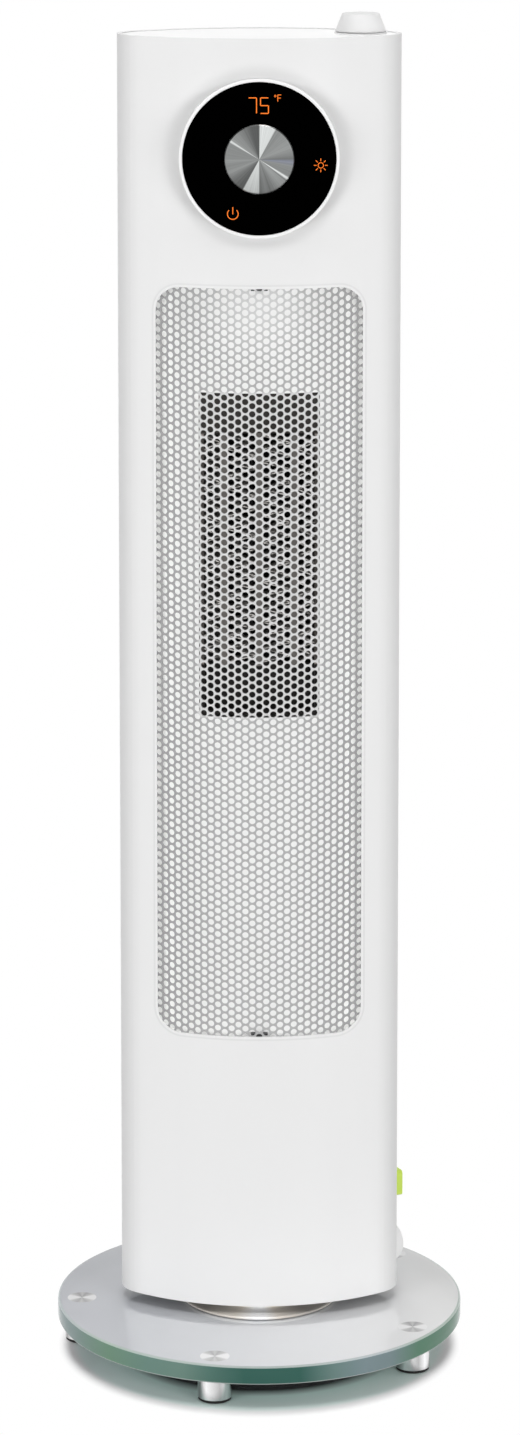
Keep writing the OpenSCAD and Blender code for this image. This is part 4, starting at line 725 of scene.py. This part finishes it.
# painted light: the air guide is made brighter towards its sides, against the shade of the shell's
# recess
guidePaintedLight = {"halfWidth": 0.0545,
             "across": [(0.0, 0.955), (0.55, 0.965), (0.76, 1.0), (0.9, 1.12), (1.0, 1.12)]}


def paintedLightAcross(tree, axes, plan):
    # painted light and shade across the width; also gives the distance from the middle
    sideways = calculate(tree, "ABSOLUTE", axes["X"])
    share = calculate(tree, "DIVIDE", sideways, plan["halfWidth"])
    return sideways, levels(tree, share, plan["across"])


def bezelPaintedShadow(tree, axes):
    height = calculate(tree, "SUBTRACT", axes["Z"], dial["z"])
    squares = [calculate(tree, "MULTIPLY", value, value) for value in (axes["X"], height)]
    reach = calculate(tree, "SQRT", calculate(tree, "ADD", *squares))
    return ranged(tree, reach, bezel["outer"], shellPaintedShade["bezelShadowEnd"], shellPaintedShade["bezelShadowTone"], 1.0,
                  "SMOOTHERSTEP")


def openingPaintedShadowLine(tree, axes, sideways):
    # a painted shadow line just outside the opening, with a faint painted light band at its edge;
    # by distance from the opening's edge, a rectangle with round corners
    height = calculate(tree, "SUBTRACT", axes["Z"], shellPaintedShade["openCentre"])
    upright = calculate(tree, "ABSOLUTE", height)
    corner, span = shellPaintedShade["openCorner"], shellPaintedShade["lineSpan"]
    over = [calculate(tree, "SUBTRACT", value, half - corner)
            for value, half in zip((sideways, upright), shellPaintedShade["openHalf"])]
    squares = [calculate(tree, "POWER", calculate(tree, "MAXIMUM", value, 0.0), 2)
               for value in over]
    outside = calculate(tree, "SQRT", calculate(tree, "ADD", *squares))
    inside = calculate(tree, "MINIMUM", calculate(tree, "MAXIMUM", *over), 0.0)
    edge = calculate(tree, "SUBTRACT", calculate(tree, "ADD", outside, inside), corner)
    return levels(tree, calculate(tree, "DIVIDE", edge, span),
                  [(at / span, value) for at, value in shellPaintedShade["line"]])


def shellWithPaintedShade(name, withFront):
    # white plastic with painted shade across the width; the front also gets the painted shadow
    # round the bezel and the painted shadow line round the opening
    material = finishes["white_plastic"].copy()
    material.name = name
    tree = material.node_tree
    axes = axesOf(tree, objectPlace(tree))
    sideways, tone = paintedLightAcross(tree, axes, shellPaintedShade)
    if withFront:
        tone = calculate(tree, "MULTIPLY", tone, bezelPaintedShadow(tree, axes))
        tone = calculate(tree, "MULTIPLY", tone, openingPaintedShadowLine(tree, axes, sideways))
    tintBase(tree, tree.nodes["Principled BSDF"], tone)
    return material


nodes["front_shell"].data.materials[0] = shellWithPaintedShade("frontShellWhite", True)
nodes["rear_shell"].data.materials[0] = shellWithPaintedShade("rearShellWhite", False)
# painted light on the air guide, brighter towards its sides
tree = finishes["guide_plastic"].node_tree
tintBase(tree, tree.nodes["Principled BSDF"],
         paintedLightAcross(tree, axesOf(tree, objectPlace(tree)), guidePaintedLight)[1])

# lit digits and signs, thin shapes on the face of the glass
signs = {
    "low": 0.0386, "high": 0.03875, "stroke": 0.00048, "thin": 0.00035, "pointed": 0.49,
    "digitLow": 0.0236, "digitHigh": 0.0322, "digitWidth": 0.0046, "gap": 0.12,
    "digitPlaces": {"7": -0.0035, "5": 0.0027}, "digitBars": {"7": "abc", "5": "afgcd"},
    "sun": (0.0320, -0.0033), "sunRing": 0.0014, "sunRays": (0.0022, 0.0036), "rayCount": 8,
    "power": (-0.0138, -0.0288), "powerRing": 0.0028, "powerBar": (-0.0002, 0.0036),
    "powerOpening": 94, "powerWeight": 1.2,
    "degree": (0.0083, 0.0329), "degreeRing": 0.00045, "degreeWeight": 0.8,
    "letter": (0.0096, 0.0301, 0.0018, 0.0034), "letterBar": (0.85, 0.52), "ringSteps": 48,
}


def litBar(start, end, stroke):
    # bar from start to end in the dial's plane, with pointed ends
    (x0, y0), (x1, y1) = start, end
    pick()
    bpy.ops.mesh.primitive_cube_add(size=1, location=(0, 0, 0))
    bar = bpy.context.object
    bar.dimensions = (math.hypot(x1 - x0, y1 - y0), stroke, signs["high"] - signs["low"])
    applyPlace(bar)
    setMode("EDIT")
    selectWhere(bar, "edges",
                lambda edge: abs(edge.verts[0].co.z - edge.verts[1].co.z) > weldDistance)
    bpy.ops.mesh.bevel(offset=stroke * signs["pointed"], segments=1, affect="EDGES")
    setMode("OBJECT")
    return standAt(bar, ((x0 + x1) / 2, (y0 + y1) / 2, (signs["low"] + signs["high"]) / 2),
                   (0, 0, math.degrees(math.atan2(y1 - y0, x1 - x0))))


def litRing(centre, radius, stroke, opening=0):
    # ring, or an arc open at its top
    low, high = signs["low"], signs["high"]
    inner, outer = radius - stroke / 2, radius + stroke / 2
    ring = latheProfile([(inner, low), (outer, low), (outer, high), (inner, high)],
                        steps=signs["ringSteps"], close=True)
    if opening:
        bpy.context.view_layer.objects.active = ring
        setMode("EDIT")

        def inOpening(face):
            middle = face.calc_center_median()
            return abs(math.degrees(math.atan2(middle.x, middle.y))) < opening / 2

        selectWhere(ring, "faces", inOpening)
        bpy.ops.mesh.delete(type="FACE")
        selectAll()
        bpy.ops.mesh.fill_holes(sides=4)
        setMode("OBJECT")
    return standAt(ring, (*centre, 0))


def joinSigns(parts, name):
    pick(*parts)
    bpy.ops.object.join()
    finishPiece(faceForward(parts[0]), name, litOrange, "cabinet")


litOrange = mouldedFinish("litOrange", (0.25, 0.05, 0.005), 0.4, bump=0.0, Emission_Strength=1.0,
                          Emission_Color=(1.0, 0.2, 0.008, 1))
stroke, thin = signs["stroke"], signs["thin"]
bars = []
for digit, centreX in signs["digitPlaces"].items():
    left = centreX - signs["digitWidth"] / 2 + stroke / 2
    right = centreX + signs["digitWidth"] / 2 - stroke / 2
    low, high = signs["digitLow"] + stroke / 2, signs["digitHigh"] - stroke / 2
    middle, gap = (low + high) / 2, stroke * signs["gap"]
    ends = {"a": ((left, high), (right, high)), "b": ((right, high), (right, middle)),
            "c": ((right, middle), (right, low)), "d": ((left, low), (right, low)),
            "f": ((left, high), (left, middle)), "g": ((left, middle), (right, middle))}
    for letter in signs["digitBars"][digit]:
        (x0, y0), (x1, y1) = ends[letter]
        dx, dy = (x1 > x0) - (x1 < x0), (y1 > y0) - (y1 < y0)
        bars.append(litBar((x0 + dx * gap, y0 + dy * gap), (x1 - dx * gap, y1 - dy * gap), stroke))
joinSigns(bars, "temperature_digits")

x, y, width, height = signs["letter"]
reach, level = width * signs["letterBar"][0], y + height * signs["letterBar"][1]
joinSigns([litRing(signs["degree"], signs["degreeRing"], thin * signs["degreeWeight"]),
           litBar((x, y), (x, y + height), thin),
           litBar((x, y + height), (x + width, y + height), thin),
           litBar((x, level), (x + reach, level), thin)], "degree_sign")
rays = []
for index in range(signs["rayCount"]):
    angle = 360 / signs["rayCount"] * index
    rays.append(litBar(*(onCircle(signs["sun"], reach, angle) for reach in signs["sunRays"]), thin))
joinSigns([litRing(signs["sun"], signs["sunRing"], thin)] + rays, "sun_sign")
(x, y), weight = signs["power"], thin * signs["powerWeight"]
joinSigns([litRing((x, y), signs["powerRing"], weight, opening=signs["powerOpening"]),
           litBar(*((x, y + end) for end in signs["powerBar"]), weight)], "power_sign")
print("dial is modelled")

topKnob = {"place": (0.0535, 0.004), "low": 0.7147, "high": 0.7242, "radius": 0.0135,
           "topRadius": 0.0099, "skirt": 0.0008, "round": 0.0007, "inset": 0.75, "ease": 0.0002,
           "groove": (0.0004, 0.0003), "hollow": 0.008, "hollowTop": 0.7212}
radius, low, high, ease = (topKnob[name] for name in ("radius", "low", "high", "ease"))
hollow, hollowTop, rim = topKnob["hollow"], topKnob["hollowTop"], topKnob["round"]
skirtTop, rimAt = low + topKnob["skirt"], topKnob["topRadius"] - rim * topKnob["inset"]
lean = math.degrees(math.atan2(radius - topKnob["topRadius"], high - low - topKnob["skirt"]))
outline = ([(0, hollowTop), (hollow, hollowTop), (hollow, low), (radius - ease, low),
            (radius, low + ease), (radius, skirtTop),
            (radius - topKnob["groove"][0], skirtTop + topKnob["groove"][1])]
           + roundCorner((rimAt, high - rim), rim, lean, 90, count=6) + [(0, high)])
crown = standAt(latheProfile(outline), (*topKnob["place"], 0))
finishPiece(crown, "tapered_knob", finishes["grey_plastic"], "selector",
            ["selector_knob"])

cabinetEnd = {"arcCentre": 0.057, "arcRadius": 0.018}


def atEnd(plan):
    # a frame on the cabinet's round right end, whose X points out of the skin
    return (Matrix.Translation((cabinetEnd["arcCentre"], 0, plan["z"]))
            @ Matrix.Rotation(math.radians(plan["angle"]), 4, "Z")
            @ Matrix.Translation((cabinetEnd["arcRadius"], 0, 0)))


button = {"angle": 25, "z": 0.0839, "width": 0.0096, "height": 0.014, "round": 0.0018,
          "roundSteps": 6, "back": -0.0036, "front": 0.0032, "rim": 0.0011, "slope": 0.0003,
          "dish": 0.0004, "stem": 0.0025, "stemLength": 0.005, "soft": 0.00025, "softFrom": 50}
pick()
bpy.ops.mesh.primitive_cube_add(size=1, location=((button["front"] + button["back"]) / 2, 0, 0),
                                scale=(button["front"] - button["back"], button["width"],
                                       button["height"]))
lime = bpy.context.object
applyPlace(lime)
setMode("EDIT")
selectWhere(lime, "edges",
            lambda edge: abs(edge.verts[0].co.x - edge.verts[1].co.x) > weldDistance)
bpy.ops.mesh.bevel(offset=button["round"], segments=button["roundSteps"], affect="EDGES")
bpy.ops.mesh.select_all(action="DESELECT")
selectWhere(lime, "faces", lambda face: face.normal.x > 0.9)
bpy.ops.mesh.inset(thickness=button["rim"], depth=0)
bpy.ops.mesh.inset(thickness=button["slope"], depth=-button["dish"])
selectWhere(lime, "faces", lambda face: face.normal.x < -0.9)
bpy.ops.mesh.inset(thickness=button["width"] / 2 - button["stem"], depth=0)
bpy.ops.mesh.extrude_region_move(
    TRANSFORM_OT_translate={"value": (-button["stemLength"], 0, 0)})
setMode("OBJECT")
soft = lime.modifiers.new("softRim", "BEVEL")
soft.width, soft.segments, soft.limit_method = button["soft"], 2, "ANGLE"
soft.angle_limit = math.radians(button["softFrom"])
applyModifiers(lime)
finishPiece(settle(lime, atEnd(button)), "lime_button", finishes["lime_plastic"],
            "power_button", ["power_button"])

outlet = {"angle": 52, "z": 0.0479, "radius": 0.012, "back": -0.008, "front": 0.0032,
          "face": 0.002, "wall": 0.0016, "round": 0.0012, "bore": 0.0061}
outletFrame = atEnd(outlet) @ Matrix.Rotation(math.radians(90), 4, "Y")
radius, front, rim = outlet["radius"], outlet["front"], outlet["round"]
inner, behind = radius - outlet["wall"], front - outlet["face"]
outline = ([(outlet["bore"], behind), (inner, behind), (inner, outlet["back"]),
            (radius, outlet["back"])]
           + roundCorner((radius - rim, front - rim), rim, 0, 90, count=6)
           + [(outlet["bore"], front)])
boss = settle(latheProfile(outline, close=True), outletFrame)
finishPiece(boss, "cord_boss", finishes["white_plastic"], "cabinet",
            ["cord_outlet"])

gland = {"bore": 0.0036, "radius": 0.006, "collar": 0.0076, "back": -0.006, "seat": 0.0032,
         "front": 0.0040, "ease": 0.0003, "boreEase": 0.0004, "steps": 72}
bore, radius, collar, front = (gland[name] for name in ("bore", "radius", "collar", "front"))
ease, boreEase = gland["ease"], gland["boreEase"]
ring = latheProfile([(bore, gland["back"]), (radius, gland["back"]), (radius, gland["seat"]),
                     (collar, gland["seat"]), (collar, front - ease), (collar - ease, front),
                     (bore + boreEase, front), (bore, front - boreEase)],
                    steps=gland["steps"], close=True)
finishPiece(settle(ring, outletFrame), "cord_collar", finishes["grey_plastic"],
            "cabinet", ["cord_gland"])
print("knob, button and outlet are modelled")

grille = {"pitch": 0.0043, "hole": 0.00174, "holeSides": 12, "width": 0.1148, "height": 0.4098,
          "corner": 0.0158, "cornerCuts": (0, 22.5, 45, 67.5, 90), "cutTolerance": 1e-7,
          "centre": 0.381, "arcCentre": 0.076, "arcRadius": 0.1119, "thickness": 0.001}


def makeGrille(plan):
    # one cell: a hexagon's outline bridged to a round hole, repeated by two array modifiers
    cellRadius = plan["pitch"] / math.sqrt(3)
    column = cellRadius * 1.5
    pick()
    bpy.ops.mesh.primitive_circle_add(vertices=6, radius=cellRadius, fill_type="NOTHING",
                                      location=(0, 0, 0), rotation=(0, 0, math.radians(30)))
    sheet = bpy.context.object
    applyPlace(sheet)
    setMode("EDIT")
    bpy.ops.mesh.primitive_circle_add(vertices=plan["holeSides"], radius=plan["hole"],
                                      fill_type="NOTHING", location=(0, 0, 0), rotation=(0, 0, 0))
    selectAll()
    bpy.ops.mesh.bridge_edge_loops()
    selectAll()
    bpy.ops.mesh.duplicate_move(TRANSFORM_OT_translate={"value": (column, plan["pitch"] / 2, 0)})
    setMode("OBJECT")
    across = 2 * math.ceil(plan["width"] / 4 / column) + 2
    up = 2 * math.ceil(plan["height"] / 2 / plan["pitch"]) + 2
    for name, count, step in (("across", across, (2 * column, 0, 0)),
                              ("up", up, (0, plan["pitch"], 0))):
        array = sheet.modifiers.new(name, "ARRAY")
        array.use_relative_offset = False
        array.use_constant_offset = True
        array.count = count
        array.constant_offset_displace = step
    applyModifiers(sheet)
    sheet.location = (-(across // 2) * 2 * column, -(up // 2) * plan["pitch"], 0)
    applyPlace(sheet)
    setMode("EDIT")
    weldAll()
    # planes touching the rounded corners trim the sheet to its outline
    corner = plan["corner"]
    cornerX, cornerZ = plan["width"] / 2 - corner, plan["height"] / 2 - corner
    for sx in (-1, 1):
        for sz in (-1, 1):
            for angle in plan["cornerCuts"]:
                nx, nz = sx * math.cos(math.radians(angle)), sz * math.sin(math.radians(angle))
                selectAll()
                bpy.ops.mesh.bisect(
                    plane_co=(sx * cornerX + nx * corner, sz * cornerZ + nz * corner, 0),
                    plane_no=(nx, nz, 0), clear_outer=True, threshold=plan["cutTolerance"])
    setMode("OBJECT")
    # lays the flat sheet on the cabinet's arc
    radius = plan["arcRadius"]
    for vertex in sheet.data.vertices:
        angle = vertex.co.x / radius
        vertex.co = (radius * math.sin(angle), plan["arcCentre"] - radius * math.cos(angle),
                     plan["centre"] + vertex.co.y)
    thicken = sheet.modifiers.new("thickness", "SOLIDIFY")
    thicken.thickness, thicken.offset = plan["thickness"], -1
    applyModifiers(sheet)
    return sheet


# painted shade makes the web grey: greyer to its sides and paler where the dark heater is behind
# it, with a painted glow above the window
webPaintedShadeAndGlow = {
    "sides": 0.355, "middle": 0.44, "middleShare": 0.25, "window": 0.66, "halfWidth": 0.054,
    "windowHalf": (0.0318, 0.0868), "windowCentre": 0.4405, "fade": 0.0015,
    "mottle": 0.08, "mottleScale": 700, "rough": 0.42, "specular": 0.3,
    "glowCentre": (0, 0, 0.576), "glowSquash": (1, 0, 1), "glowRadius": 0.04, "glowGain": 0.45,
}
webMaterial, tree, shader = newMaterial("grilleWeb")
place = objectPlace(tree)
axes = axesOf(tree, place)
sideways = calculate(tree, "ABSOLUTE", axes["X"])
upright = calculate(tree, "ABSOLUTE", calculate(tree, "SUBTRACT", axes["Z"], webPaintedShadeAndGlow["windowCentre"]))
outside = calculate(tree, "MAXIMUM", *(calculate(tree, "SUBTRACT", value, half) for value, half
                                       in zip((sideways, upright), webPaintedShadeAndGlow["windowHalf"])))
away = ranged(tree, outside, 0.0, webPaintedShadeAndGlow["fade"])
plain = colourRamp(tree, calculate(tree, "DIVIDE", sideways, webPaintedShadeAndGlow["halfWidth"]),
                   [(webPaintedShadeAndGlow["middleShare"], webPaintedShadeAndGlow["middle"]), (1.0, webPaintedShadeAndGlow["sides"])])
paintedWebShade = mixColours(tree, away, (webPaintedShadeAndGlow["window"],) * 3 + (1,), plain)
mottle = calculate(tree, "MULTIPLY_ADD", noiseOf(tree, place, webPaintedShadeAndGlow["mottleScale"], grain["detail"]),
                   2 * webPaintedShadeAndGlow["mottle"], 1 - webPaintedShadeAndGlow["mottle"])
fromGlow = vectorMath(tree, "MULTIPLY", vectorMath(tree, "SUBTRACT", place, webPaintedShadeAndGlow["glowCentre"]),
                      webPaintedShadeAndGlow["glowSquash"])
paintedGlow = ranged(tree, vectorMath(tree, "LENGTH", fromGlow), webPaintedShadeAndGlow["glowRadius"], 0.0,
              1.0, 1 + webPaintedShadeAndGlow["glowGain"], "SMOOTHSTEP")
tone = calculate(tree, "MULTIPLY", mottle, paintedGlow)
feed(tree, shader, {"Base Color": tinted(tree, paintedWebShade, tone), "Roughness": webPaintedShadeAndGlow["rough"],
                    "Specular IOR Level": webPaintedShadeAndGlow["specular"]})
addGrain(tree, shader, place)
sheet = makeGrille(grille)
finishPiece(sheet, "perforated_sheet", webMaterial, "cabinet", ["front_grille"],
            sharp=50)
sheet.visible_shadow = False  # or the guide behind it comes out too dark
print("grille is modelled:", len(sheet.data.polygons), "faces")
